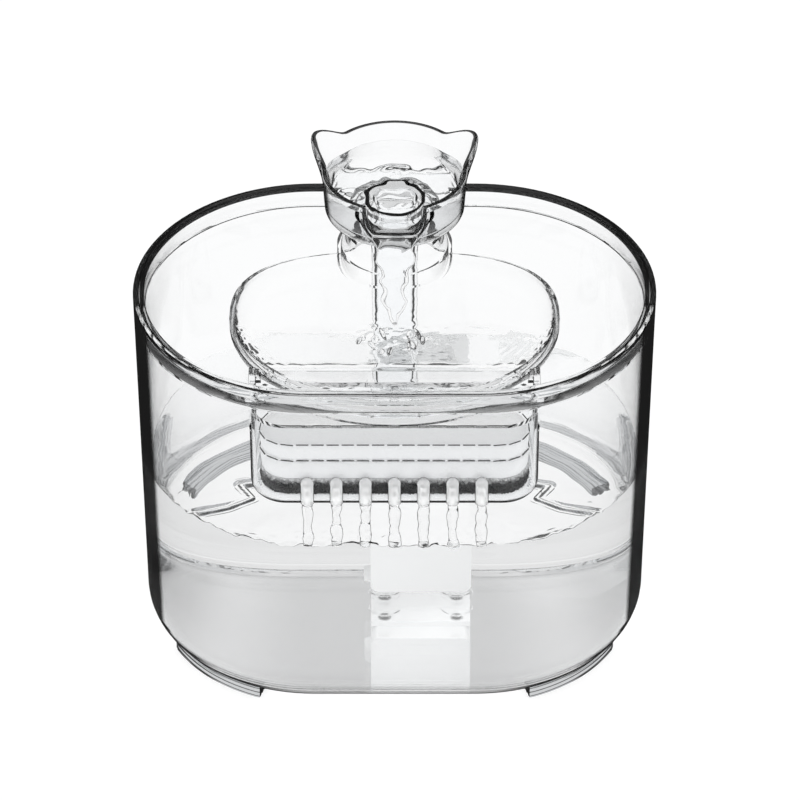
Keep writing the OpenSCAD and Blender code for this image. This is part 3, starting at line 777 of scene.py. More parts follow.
@dataclass
class Shape:
    """A mesh being put together, in millimetres."""

    points: list[Point] = field(default_factory=list)
    faces: list[tuple[int, ...]] = field(default_factory=list)

    def ring(self, points: Sequence[Point]) -> list[int]:
        """Adds points.

        Args:
            points: The points.

        Returns:
            Their numbers.
        """
        start = len(self.points)
        self.points.extend(points)
        return list(range(start, start + len(points)))

    def bridge(self, low: Sequence[int], high: Sequence[int]) -> None:
        """Joins two closed rows of the same length with quads.

        Args:
            low: The numbers of the first row's points.
            high: The numbers of the second row's points.
        """
        for index, (here, there) in enumerate(zip(low, high)):
            after = (index + 1) % len(low)
            self.faces.append((here, low[after], high[after], there))

    def cap(self, rows: Sequence[Sequence[int]]) -> None:
        """Closes a loft's first and last rings with one face each."""
        self.faces.append(tuple(rows[0]))
        self.faces.append(tuple(rows[-1][::-1]))

    def loft(self, rings: Sequence[Sequence[Point]], loop: bool = False) -> list[list[int]]:
        """Joins a stack of rings.

        Args:
            rings: The rings, each with the same number of points.
            loop: Whether the last ring joins the first.

        Returns:
            The numbers of each ring's points.
        """
        rows = [self.ring(ring) for ring in rings]
        for low, high in zip(rows, rows[1:]):
            self.bridge(low, high)
        if loop:
            self.bridge(rows[-1], rows[0])
        return rows

    def mesh(self, name: str, sharp: float = 35.0) -> bpy.types.Mesh:
        """Turns the shape into a mesh in metres.

        Args:
            name: The mesh's name.
            sharp: Edges bent by more degrees than this stay crisp.

        Returns:
            The mesh, its doubles merged and its faces turned outwards.
        """
        mesh = bpy.data.meshes.new(name)
        mesh.from_pydata([(x * MM, y * MM, z * MM) for x, y, z in self.points], [], self.faces)
        work = bmesh.new()
        work.from_mesh(mesh)
        bmesh.ops.remove_doubles(work, verts=work.verts, dist=1e-6)
        bmesh.ops.dissolve_degenerate(work, edges=work.edges, dist=1e-7)
        bmesh.ops.recalc_face_normals(work, faces=work.faces)
        if work.calc_volume(signed=True) < 0:
            bmesh.ops.reverse_faces(work, faces=work.faces)
        work.to_mesh(mesh)
        work.free()
        mesh.polygons.foreach_set("use_smooth", [True] * len(mesh.polygons))
        mesh.set_sharp_from_angle(angle=math.radians(sharp))
        return mesh


def place(
    name: str, mesh: bpy.types.Mesh, material: bpy.types.Material, body: Body, slot: Slot
) -> bpy.types.Object:
    """Puts a finished mesh on its body.

    Args:
        name: The piece's name.
        mesh: Its mesh, in metres, where it belongs.
        material: Its finish.
        body: The body it rides on.
        slot: The material slot it takes its finish from; not used.

    Returns:
        The piece.
    """
    piece = bpy.data.objects.new(name, mesh)
    bpy.context.scene.collection.objects.link(piece)
    mesh.materials.clear()
    mesh.materials.append(material)
    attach(piece, body.value)
    LOG.info("%s: %d faces on %s", name, len(mesh.polygons), body.value)
    return piece


def ease(low: float, high: float, value: float) -> float:
    """A smooth step from 0 at low to 1 at high."""
    share = min(1.0, max(0.0, (value - low) / (high - low)))
    return share * share * (3 - 2 * share)


def cloud(x: float, y: float, z: float, size: float) -> float:
    """Smooth noise between about -1 and 1 whose lumps are about size across."""
    return noise.noise(Vector((x / size, y / size, z / size)))


def racetrack(half: float, radius: float, z: float, count: int) -> Ring:
    """One racetrack ring, anticlockwise from the right end.

    Args:
        half: Half the length of the straight sides.
        radius: Radius of the ends.
        z: Height of the ring.
        count: Number of points.

    Returns:
        The ring's points.
    """
    arc = count // 3
    flat = (count - 2 * arc) // 2
    ring: Ring = []
    for side in (1, -1):
        for index in range(arc):
            turn = math.pi * (index / arc - 0.5) + (0 if side > 0 else math.pi)
            ring.append((side * half + radius * math.cos(turn), radius * math.sin(turn), z))
        for index in range(flat):
            ring.append((side * half * (1 - 2 * index / flat), side * radius, z))
    return ring


# ----------------------------------------------------------------------- parts


@dataclass
class Tank:
    """The racetrack tank with its four grooved foot rails, and its water."""

    half_len: float = HALF_LENGTH
    end_radius: float = 62.2
    rim: float = 144.0
    draft: float = 0.35
    wall: float = 3.3
    underside: float = 3.0
    floor: float = 6.4
    low_round: float = 10.5
    foot_inner: float = 50.9
    foot_outer: float = 57.3
    foot_from: float = 28.0
    foot_to: float = 70.0
    foot_ridges: int = 3
    groove: float = 0.85
    bedding: float = 0.3
    water_level: float = 76.0
    streams: int = 7
    stream_pitch: float = 10.0
    stream_front: float = -56.5
    crest: tuple[tuple[float, float], ...] = (
        (47.0, -24.0),
        (54.0, -25.5),
        (49.5, -32.5),
        (58.0, -37.5),
        (70.0, -41.0),
        (66.0, -46.0),
        (56.0, -53.0),
        (44.0, -57.5),
    )

    def wall_radius(self, z: float) -> float:
        """Outside radius of the wall at a height."""
        return self.end_radius - (self.rim - z) * math.tan(math.radians(self.draft))

    def under(self, reach: float) -> float:
        """Height of the tank's underside.

        Args:
            reach: Distance from the end's centre.

        Returns:
            The height there.
        """
        start = self.wall_radius(self.underside + self.low_round) - self.low_round
        past = min(max(0.0, reach - start), self.low_round)
        return self.underside + self.low_round - math.sqrt(self.low_round**2 - past**2)

    def groove_at(self, share: float) -> float:
        """Depth of a foot rail's grooves at a share of its width or height."""
        return self.groove * (1 - abs(math.sin(math.pi * share * self.foot_ridges)) ** 0.6)

    def foot_section(self) -> list[tuple[float, float]]:
        """Outline of a foot rail, with grooves below and outside.

        Returns:
            The outline's points as reach and height.
        """
        outline: list[tuple[float, float]] = []
        width = self.foot_outer - self.foot_inner
        steps = 8 * self.foot_ridges
        for step in range(steps + 1):
            share = step / steps
            outline.append((self.foot_inner + width * share, self.groove_at(share) * (0 < step < steps)))
        top = self.under(self.foot_outer) + self.bedding
        for step in range(1, steps):
            share = step / steps
            outline.append((self.foot_outer - self.groove_at(share), top * share))
        for step in range(9):
            reach = self.foot_outer - width * step / 8
            outline.append((reach, self.under(reach) + self.bedding))
        return outline

    def foot(self, side: int, end: int) -> Shape:
        """One grooved rail that follows the tank's rounded end.

        Args:
            side: 1 for the right end and -1 for the left.
            end: 1 for the rear and -1 for the front.

        Returns:
            The rail, let a little into the tank's underside.
        """
        outline = self.foot_section()
        middle = (self.foot_inner + self.foot_outer) / 2
        rings: list[Ring] = []
        steps = 40
        for step in range(steps + 1):
            turn = math.radians(self.foot_from + (self.foot_to - self.foot_from) * step / steps)
            close = min(step, steps - step)
            drawn = 1 - 0.06 * (1 - min(1.0, close / 1.5)) ** 2
            ring: Ring = []
            for reach, z in outline:
                far = middle + (reach - middle) * drawn
                ring.append((side * (self.half_len + far * math.cos(turn)), end * far * math.sin(turn), z))
            rings.append(ring)
        shape = Shape()
        shape.cap(shape.loft(rings))
        return shape

    def build(self, nodes: dict[str, bpy.types.Object]) -> None:
        """Finishes the tank, lays finer rails in place of its feet and fills it.

        Args:
            nodes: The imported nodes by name.
        """
        dress(nodes["tank"], CLEAR_TANK.material())
        feet = CLEAR_FEET.material()
        for end, end_name in ((-1, "front"), (1, "rear")):
            for side, side_name in ((-1, "left"), (1, "right")):
                name = f"foot_rail_{end_name}_{side_name}"
                piece = place(name, self.foot(side, end).mesh(name, 50), feet, Body.TANK, Slot.FEET)
                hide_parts(f"foot_{end_name}_{side_name}")
        still = STILL_WATER.material()
        place("tank_water", self.water().mesh("tank_water", 60), still, Body.TANK, Slot.TANK)

    def crest_at(self, x: float, y: float) -> float:
        """Height of the steep wave that runs from the filter box to the front wall.

        Args:
            x: Place along the tank.
            y: Place across the tank.

        Returns:
            The height, 0 away from the wave.
        """
        spot = Vector((abs(x), y))
        if not (42 < spot.x < 74 and -62 < y < -20):
            return 0.0
        near = math.inf
        along = 0.0
        for index, (first, last) in enumerate(zip(self.crest, self.crest[1:])):
            start, way = Vector(first), Vector(last) - Vector(first)
            share = min(1.0, max(0.0, (spot - start).dot(way) / way.length_squared))
            gap = (spot - start - way * share).length
            if gap < near:
                near, along = gap, index + share
        wide = 2.7 + 0.6 * math.sin(along * 2.2)
        wave = 0.62 * math.cos(near * 1.9) * math.exp(-((near / wide) ** 2))
        return wave * (1 + 0.3 * cloud(x, y, 4.0, 4.0))

    def surface(self, x: float, y: float, edge: float) -> float:
        """Height of the water's face over its level.

        Args:
            x: Place along the tank.
            y: Place across the tank.
            edge: Distance to the wall.

        Returns:
            The height over the still level.
        """
        swell = 0.4 * cloud(x, y, 3.0, 30.0)
        ripple = 0.12 * cloud(x, y, 9.0, 11.0)
        rise = swell + ripple
        front = ease(-30.0, -52.0, y)
        if front > 0:
            # Rings where the nozzles' streams land, and broken water along the front wall.
            for index in range(self.streams):
                landing = self.stream_pitch * (index - self.streams // 2)
                reach = math.hypot(x - landing, y - self.stream_front)
                rise += 0.35 * front * math.cos(reach * 1.5) * math.exp(-reach / 5.0)
            rise += 1.5 * front * cloud(x, y, 1.0, 3.5) * math.exp(-edge / 3.0)
        # The climb up the wall, which is a little uneven.
        rise += 0.4 * math.exp(-edge / 0.8) + 0.5 * cloud(x, y, 1.0, 4.0) * math.exp(-edge / 3.0)
        return rise + self.crest_at(x, y)

    def water(self) -> Shape:
        """The water that stands in the tank.

        Returns:
            The closed water, a little into the walls and fine at its face.
        """
        lap = 0.15
        count, steps = 720, 104
        low_radius = self.wall_radius(self.underside + self.low_round)
        inner_round = self.low_round - self.wall
        start = low_radius - self.wall - inner_round
        rings = []
        for share in (0.0, 1.0):
            rings.append(racetrack(self.half_len, start * share, self.floor - lap, count))
        for step in range(1, 7):
            turn = math.radians(90 * step / 6)
            radius = start + (inner_round + lap) * math.sin(turn)
            z = self.floor + inner_round - (inner_round + lap) * math.cos(turn)
            rings.append(racetrack(self.half_len, radius, z, count))
        top = self.wall_radius(self.water_level) - self.wall + lap
        for share in (0.5, 0.97):
            z = self.floor + inner_round + (self.water_level - self.floor - inner_round) * share
            rings.append(racetrack(self.half_len, self.wall_radius(z) - self.wall + lap, z, count))
        for step in range(steps):
            edge = top * (step / (steps - 1)) ** 1.25
            flat = racetrack(self.half_len, top - edge, self.water_level, count)
            rings.append([(x, y, z + self.surface(x, y, edge)) for x, y, z in flat])
        shape = Shape()
        shape.loft(rings)
        return shape


def dress(node: bpy.types.Object, material: bpy.types.Material) -> None:
    """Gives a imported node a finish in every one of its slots.

    Args:
        node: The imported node.
        material: Its finish.
    """
    for slot in node.material_slots:
        slot.material = material
    LOG.info("%s: %s", node.name, material.name)


def smooth_copy(node: bpy.types.Object, name: str, angle: float) -> bpy.types.Mesh:
    """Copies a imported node's mesh, merges it and smooths it.

    Args:
        node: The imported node.
        name: Name of the copy.
        angle: Edges bent by more degrees than this stay crisp.

    Returns:
        The copy's mesh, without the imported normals.
    """
    mesh = node.data.copy()
    mesh.name = name
    work = bmesh.new()
    work.from_mesh(mesh)
    bmesh.ops.remove_doubles(work, verts=work.verts, dist=2e-6)
    work.to_mesh(mesh)
    work.free()
    if mesh.has_custom_normals:
        mesh.normals_split_custom_set([(0.0, 0.0, 0.0)] * len(mesh.loops))
        attribute = mesh.attributes.get("custom_normal")
        if attribute:
            mesh.attributes.remove(attribute)
    mesh.polygons.foreach_set("use_smooth", [True] * len(mesh.polygons))
    mesh.set_sharp_from_angle(angle=math.radians(angle))
    return mesh


@dataclass
class Tray:
    """The tray with the drinking basin, and the water that stands in it."""

    half_width: float = 57.5
    front: float = 48.2
    back: float = 39.2
    offset: float = 7.5
    wall: float = 2.0
    bowl_low: float = 128.5
    bowl_round: float = 7.0
    weir_back: float = -34.6
    weir_front: float = -36.2
    weir_top: float = 134.6
    water_level: float = 136.4
    back_power: float = 2.7
    front_power: float = 2.0

    def build(self, nodes: dict[str, bpy.types.Object]) -> None:
        """Makes the tray's smooth piece in place of its node, and fills its basin.

        Args:
            nodes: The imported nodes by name.
        """
        mesh = smooth_copy(nodes["tray"], "tray_clear", 28.0)
        piece = place("tray_clear", mesh, CLEAR_TRAY.material(), Body.TRAY, Slot.TRAY)
        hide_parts("tray")
        calm = BASIN_WATER.material()
        place("basin_water", self.water().mesh("basin_water", 60), calm, Body.TRAY, Slot.TRAY)

    def outline(self, x: float, inset: float, side: int) -> float:
        """The basin's Y at a place across it.

        Args:
            x: Place across the basin.
            inset: Distance drawn in from the outline.
            side: 1 for its back and -1 for its front.

        Returns:
            The Y coordinate, or the widest line past the ends.
        """
        power = self.back_power if side > 0 else self.front_power
        depth = self.back if side > 0 else self.front
        share = min(1.0, abs(x) / (self.half_width - inset))
        return side * (depth - inset) * (1 - share**power) ** (1 / power) - self.offset

    def inset_at(self, x: float, y: float) -> float:
        """How far a place lies inside the basin's outline, found by halving.

        Args:
            x: Place across the basin.
            y: Place from front to back.

        Returns:
            The distance.
        """
        behind = y > -self.offset
        power = self.back_power if behind else self.front_power
        depth = self.back if behind else self.front
        low, high = 0.0, depth - 0.1
        for _ in range(22):
            middle = (low + high) / 2
            reach = (abs(x) / (self.half_width - middle)) ** power
            reach += (abs(y + self.offset) / (depth - middle)) ** power
            low, high = (low, middle) if reach > 1 else (middle, high)
        return (low + high) / 2

    def bed(self, inset: float) -> float:
        """Height of the bowl's inside.

        Args:
            inset: Distance in from its outline.

        Returns:
            The height there.
        """
        start = self.wall + self.bowl_round
        if inset >= start:
            return self.bowl_low
        reach = min(self.bowl_round, start - inset)
        return self.bowl_low + self.bowl_round - math.sqrt(max(0.0, self.bowl_round**2 - reach**2))

    def surface(self, x: float, y: float, inset: float) -> float:
        """Height of the basin's water.

        Args:
            x: Place across the basin.
            y: Place from front to back.
            inset: Distance in from the basin's outline.

        Returns:
            The height there, down to where it has run over the weir.
        """
        # Long slanting swell.
        slant = 2.4 * y + 0.45 * x
        level = self.water_level + 0.2 * cloud(x * 0.5, slant, 4.0, 16.0)
        level += 0.07 * cloud(x * 0.5, slant, 2.0, 6.0)
        # Broken water where the spout's stream lands.
        reach = math.hypot(x / 1.5, y + 22)
        level += 0.75 * cloud(x, y, 7.0, 3.2) * math.exp(-((reach / 8) ** 2))
        level += 0.3 * cloud(x, 2 * y, 3.0, 2.2) * math.exp(-((reach / 14) ** 2))
        # Climb and lapping along the basin's edge, most at the front's sides.
        side = ease(10.0, -26.0, y) * ease(14.0, 36.0, abs(x))
        past = max(0.0, inset - self.wall)
        rim = math.exp(-past / (0.7 + 1.6 * side))
        level += rim * (0.2 + (0.1 + 1.3 * side) * cloud(x, y, 0.0, 1.7))
        level += 0.32 * side * math.cos(past * 2.4 + 0.8 * cloud(x, y, 6.0, 8.0)) * math.exp(-past / 5.0)
        # The draw towards the weir, and the fall over it.
        level -= 0.5 * ease(self.weir_back + 6, self.weir_back, y) * (1 + 0.6 * cloud(x, 0.0, 9.0, 7.0))
        fall = ease(self.weir_back + 3.0, self.weir_front - 2.5, y)
        churn = 1.5 * cloud(x, y * 1.6, 5.0, 4.0) + 0.6 * cloud(x, y, 5.0, 1.8)
        return level - 7.5 * fall * fall + fall * churn

    def water(self) -> Shape:
        """The water in the basin, from its bed to its rippled face and over the weir.

        Returns:
            The closed water.
        """
        across, along = 220, 150
        stop = self.weir_front - 2.4
        top_rows: list[list[Point]] = []
        bed_rows: list[list[Point]] = []
        for column in range(across + 1):
            x = (self.half_width - self.wall + 0.1) * math.sin(math.pi * (column / across - 0.5))
            near = max(stop, self.outline(x, self.wall - 0.1, -1))
            far = self.outline(x, self.wall - 0.1, 1)
            top_row: list[Point] = []
            bed_row: list[Point] = []
            for row in range(along + 1):
                y = near + (far - near) * (0.5 - 0.5 * math.cos(math.pi * row / along))
                inset = self.inset_at(x, y)
                top = self.surface(x, y, inset)
                low = self.bed(max(inset, self.wall + 0.1)) - 0.1
                if y < self.weir_back + 0.1:
                    low = self.weir_top - 0.1 if y > self.weir_front - 0.1 else top - 1.4
                top_row.append((x, y, max(top, low + 0.3)))
                bed_row.append((x, y, low))
            top_rows.append(top_row)
            bed_rows.append(bed_row)
        shape = Shape()
        loops = []
        for top_row, bed_row in zip(top_rows, bed_rows):
            loops.append(top_row + bed_row[::-1])
        shape.loft(loops)
        for loop in (0, across):
            start = loop * 2 * (along + 1)
            for row in range(along):
                shape.faces.append(
                    (start + row, start + row + 1, start + 2 * along - row, start + 2 * along + 1 - row)
                )
        return shape


@dataclass
class SpoutCup:
    """The cup with two ears and a muzzle lip, lofted by angle and height."""

    centre: float = 36.0
    low: float = 149.2
    radius: float = 25.6
    height: float = 18.2
    wall: float = 2.0
    floor: float = 2.2
    back_rise: float = 3.7
    ear_rise: float = 7.0
    ear_flare: float = 6.0
    ear_angle: float = 113.0
    ear_half_angle: float = 24.0
    muzzle_reach: float = 11.4
    lip_drop: float = 1.8
    taper: float = 1.2
    foot_inset: float = 4.2
    foot_share: float = 0.22
    bore: float = 9.6
    water_level: float = 15.4
    water_inset: float = 0.96
    count: int = 360

    def ear(self, turn: float) -> float:
        """Share of an ear at an angle from the front."""
        return 1 - ease(0, self.ear_half_angle, abs(turn - self.ear_angle))

    def muzzle(self, turn: float) -> float:
        """Share of the muzzle lip at an angle from the front."""
        return 1 - ease(10, 28, turn)

    def rim_radius(self, turn: float) -> float:
        """Radius of the rim at an angle from the front."""
        lip = self.muzzle_reach * self.muzzle(turn) / max(0.6, math.cos(math.radians(min(turn, 30))))
        return self.radius + self.ear_flare * self.ear(turn) + lip

    def rim_height(self, turn: float) -> float:
        """Height of the rim.

        Args:
            turn: Angle from the front, in degrees.

        Returns:
            The height over the cup's foot.
        """
        back = self.back_rise * ease(92, 138, turn)
        rest = self.ear_rise - self.back_rise * ease(92, 138, self.ear_angle)
        return self.height + back + rest * self.ear(turn) - self.lip_drop * self.muzzle(turn)

    def drawn_in(self, turn: float) -> float:
        """How far the wall is drawn in along the radius for an even thickness."""
        step = self.rim_radius(turn + 0.5) - self.rim_radius(turn - 0.5)
        return self.wall * min(1.6, math.sqrt(1 + (step / math.radians(self.rim_radius(turn))) ** 2))

    def reach(self, share: float, turn: float) -> float:
        """Outside radius of the cup.

        Args:
            share: Share of the height, from the foot to the rim.
            turn: Angle from the front, in degrees.

        Returns:
            The radius there.
        """
        flare = self.ear_flare * self.ear(turn)
        lip = self.rim_radius(turn) - self.radius - flare
        foot = self.foot_inset * (1 - min(1.0, share / self.foot_share)) ** 2
        body = self.radius - self.taper + self.taper * share - foot
        return body + flare * ease(0.35, 1, share) + lip * ease(0.2, 1.05, share)

    def loop(self, share: float, low: float, inset: float, lift: float = 0.0) -> Ring:
        """One ring of the wall.

        Args:
            share: Share of the height, from the foot to the rim.
            low: Height where the share is 0.
            inset: Share of the wall drawn in, 0 outside and 1 inside.
            lift: Rise over that height.

        Returns:
            The ring's points.
        """
        ring: Ring = []
        for index in range(self.count):
            angle = 360 * index / self.count
            turn = abs(((angle + 90 + 540) % 360) - 180)
            radius = self.reach(share, turn) - inset * self.drawn_in(turn)
            z = low + (self.rim_height(turn) - low) * share + lift
            spot = math.radians(angle)
            ring.append((radius * math.cos(spot), self.centre + radius * math.sin(spot), self.low + z))
        return ring

    def bore_ring(self, z: float) -> Ring:
        """One ring of the riser's bore.

        Args:
            z: Height over the cup's foot.

        Returns:
            The ring's points.
        """
        ring: Ring = []
        for index in range(self.count):
            spot = 2 * math.pi * index / self.count
            ring.append((self.bore * math.cos(spot), self.centre + self.bore * math.sin(spot), self.low + z))
        return ring

    def shell(self) -> Shape:
        """The cup's wall and floor, with a rounded rim and the riser's bore.

        Returns:
            The closed shell.
        """
        shares = [(step / 26) ** 1.5 for step in range(27)]
        rings = [self.bore_ring(0.0)]
        rings += [self.loop(share, 0, 0) for share in shares]
        for step in range(1, 6):
            turn = math.pi * step / 6
            rings.append(self.loop(1, 0, 0.5 - 0.5 * math.cos(turn), 0.6 * math.sin(turn)))
        rings += [self.loop(share, self.floor, 1) for share in shares[::-1]]
        rings.append(self.bore_ring(self.floor))
        shape = Shape()
        shape.loft(rings, loop=True)
        return shape

    def build(self) -> None:
        """Makes the cup's smooth piece in place of its node, and fills it."""
        mesh = self.shell().mesh("spout_cup_clear", 40)
        piece = place("spout_cup_clear", mesh, CLEAR_CUP.material(), Body.CUP, Slot.CUP)
        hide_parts("spout_cup")
        place("cup_water", self.water().mesh("cup_water", 60), CUP_WATER.material(), Body.CUP, Slot.CUP)

    def inner_ring(self, z: float, scale: float) -> Ring:
        """A ring just inside the wall's inner face.

        Args:
            z: Height over the cup's foot.
            scale: Share of the radius that is kept.

        Returns:
            The ring's points.
        """
        ring: Ring = []
        for index in range(self.count):
            angle = 360 * index / self.count
            turn = abs(((angle + 90 + 540) % 360) - 180)
            share = max(0.0, (z - self.floor) / (self.rim_height(turn) - self.floor))
            radius = (self.reach(min(1.0, share), turn) - self.water_inset * self.drawn_in(turn)) * scale
            spot = math.radians(angle)
            x, y = radius * math.cos(spot), radius * math.sin(spot)
            ring.append((x, self.centre + y, self.low + z))
        return ring

    def water(self) -> Shape:
        """The water in the cup, from its floor to its rippled face.

        Returns:
            The closed water, which wells up over the riser.
        """
        start = self.floor - 0.05
        rings: list[Ring] = [[(0.0, self.centre, self.low + start)] * self.count]
        rings.append(self.inner_ring(start, 0.5))
        for step in range(9):
            rings.append(self.inner_ring(start + (self.water_level - self.floor) * step / 8, 1.0))
        for step in range(1, 37):
            scale = 1 - (step / 36) ** 1.2
            ring = self.inner_ring(self.water_level, scale)
            wave: Ring = []
            for x, y, z in ring:
                dome = math.hypot(x, y - self.centre)
                rise = 1.2 * math.exp(-((dome / 7) ** 2)) + 0.25 * math.cos(dome * 1.1) * math.exp(-dome / 10)
                rise += 0.45 * cloud(x, y, 2.0, 5.5)
                wave.append((x, y, z + rise * ease(0.0, 0.25, 1 - scale)))
            rings.append(wave)
        shape = Shape()
        shape.loft(rings)
        return shape


@dataclass
class SpoutStream:
    """The sheet of water that falls from the muzzle lip into the basin."""

    start: Point = (0.0, 1.5, 165.6)
    end: Point = (0.0, -12.0, 136.6)
    width: float = 6.9
    thickness: float = 1.9

    def build(self, material: bpy.types.Material) -> None:
        """Makes the stream, which rides on the tray.

        Args:
            material: Its finish.
        """
        piece = place("spout_stream", self.shape().mesh("spout_stream", 60), material, Body.TRAY, Slot.TRAY)
        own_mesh(piece)

    def shape(self) -> Shape:
        """The stream as a lofted ribbon with wavy sides.

        Returns:
            The closed ribbon.
        """
        rings: list[Ring] = []
        steps, count = 60, 36
        for step in range(steps + 1):
            share = step / steps
            y = self.start[1] + (self.end[1] - self.start[1]) * (share**0.55)
            z = self.start[2] + (self.end[2] - self.start[2]) * share
            wide = self.width * (1 - 0.42 * ease(0.1, 0.6, share)) * (1 + 0.13 * math.sin(share * 27 + 1))
            wide *= 1 - 0.8 * ease(0.75, 1.0, share)
            thick = self.thickness * (1 + 0.2 * math.sin(share * 23)) * (1 - 0.3 * share)
            ring: Ring = []
            for index in range(count):
                turn = 2 * math.pi * index / count
                side = math.copysign(abs(math.cos(turn)) ** 0.7, math.cos(turn))
                x = wide * side + 0.9 * cloud(0, share * 20, 1, 3) + 0.5 * cloud(side * 2, share * 30, 4, 2)
                depth = thick * math.sin(turn) * (1 + 0.3 * cloud(x, z, 3, 3))
                ring.append((x, y - depth, z + 0.2 * cloud(x, z, 8, 2)))
            rings.append(ring)
        shape = Shape()
        shape.cap(shape.loft(rings))
        return shape


@dataclass
class NozzleStreams:
    """The row of thin streams under the filter box, made by Geometry Nodes."""

    count: int = 7
    pitch: float = 10.0
    front: float = -57.3
    top: float = 94.0
    fall: float = 18.4
    radius: float = 1.75
    waver: float = 1.5

    def sizes(self) -> dict[str, object]:
        """The tree's named inputs, in metres.

        Returns:
            Each input's value by its name.
        """
        lengths = {
            "Pitch": self.pitch,
            "Front": self.front,
            "Top": self.top,
            "Fall": self.fall,
            "Radius": self.radius,
            "Waver": self.waver,
        }
        return {"Count": self.count, **{name: length * MM for name, length in lengths.items()}}

    def tree(self, material: bpy.types.Material) -> bpy.types.NodeTree:
        """Builds the tree: a row of lines, wavered and given a varied thickness.

        Args:
            material: The streams' finish.

        Returns:
            The tree.
        """
        tree, graph, entry = new_grower("nozzle_streams", self.sizes(), carries=False)
        row = graph.add("GeometryNodeMeshLine")
        graph.feed(row.inputs["Count"], entry.outputs["Count"])
        last = graph.math("SUBTRACT", entry.outputs["Count"], 1.0)
        half = graph.math("MULTIPLY", graph.math("MULTIPLY", last, entry.outputs["Pitch"]), -0.5)
        start = graph.join(half, entry.outputs["Front"], entry.outputs["Top"])
        graph.feed(row.inputs["Start Location"], start)
        graph.feed(row.inputs["Offset"], graph.join(entry.outputs["Pitch"]))
        line = graph.add("GeometryNodeCurvePrimitiveLine")
        foot = graph.join(z=graph.math("MULTIPLY", entry.outputs["Fall"], -1.0))
        graph.feed(line.inputs["End"], foot)
        many = graph.add("GeometryNodeInstanceOnPoints")
        graph.feed(many.inputs["Points"], row.outputs[0])
        graph.feed(many.inputs["Instance"], line.outputs[0])
        real = graph.add("GeometryNodeRealizeInstances")
        graph.feed(real.inputs[0], many.outputs[0])
        fine = graph.add("GeometryNodeResampleCurve")
        graph.feed(fine.inputs["Curve"], real.outputs[0])
        fine.inputs["Count"].default_value = 40
        wave = graph.add("ShaderNodeTexNoise")
        wave.inputs["Scale"].default_value = 190.0
        wave.inputs["Detail"].default_value = 1.0
        sway = graph.add("ShaderNodeVectorMath", operation="SCALE")
        graph.feed(sway.inputs[0], graph.vector("SUBTRACT", wave.outputs["Color"], (0.5, 0.5, 0.5)))
        graph.feed(sway.inputs["Scale"], entry.outputs["Waver"])
        moved = graph.add("GeometryNodeSetPosition")
        graph.feed(moved.inputs["Geometry"], fine.outputs[0])
        graph.feed(moved.inputs["Offset"], sway.outputs[0])
        lumps = graph.add("ShaderNodeTexNoise")
        lumps.inputs["Scale"].default_value = 150.0
        lumps.inputs["Detail"].default_value = 1.0
        girth = graph.span(lumps.outputs["Fac"], 0.2, 0.8, 0.75, 1.3)
        profile = graph.add("GeometryNodeCurvePrimitiveCircle")
        profile.inputs["Resolution"].default_value = 20
        graph.feed(profile.inputs["Radius"], entry.outputs["Radius"])
        tube = graph.add("GeometryNodeCurveToMesh")
        graph.feed(tube.inputs["Curve"], moved.outputs[0])
        graph.feed(tube.inputs["Profile Curve"], profile.outputs[0])
        graph.feed(tube.inputs["Fill Caps"], True)
        graph.feed(tube.inputs["Scale"], girth)
        close_grower(graph, tube.outputs[0], material)
        return tree

    def build(self, material: bpy.types.Material) -> None:
        """Makes the streams, which ride on the filter box.

        Args:
            material: Their finish.
        """
        mesh = grown_mesh("nozzle_streams", self.tree(material), self.sizes())
        piece = place("nozzle_streams", mesh, material, Body.FILTER, Slot.BOX)
        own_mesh(piece)


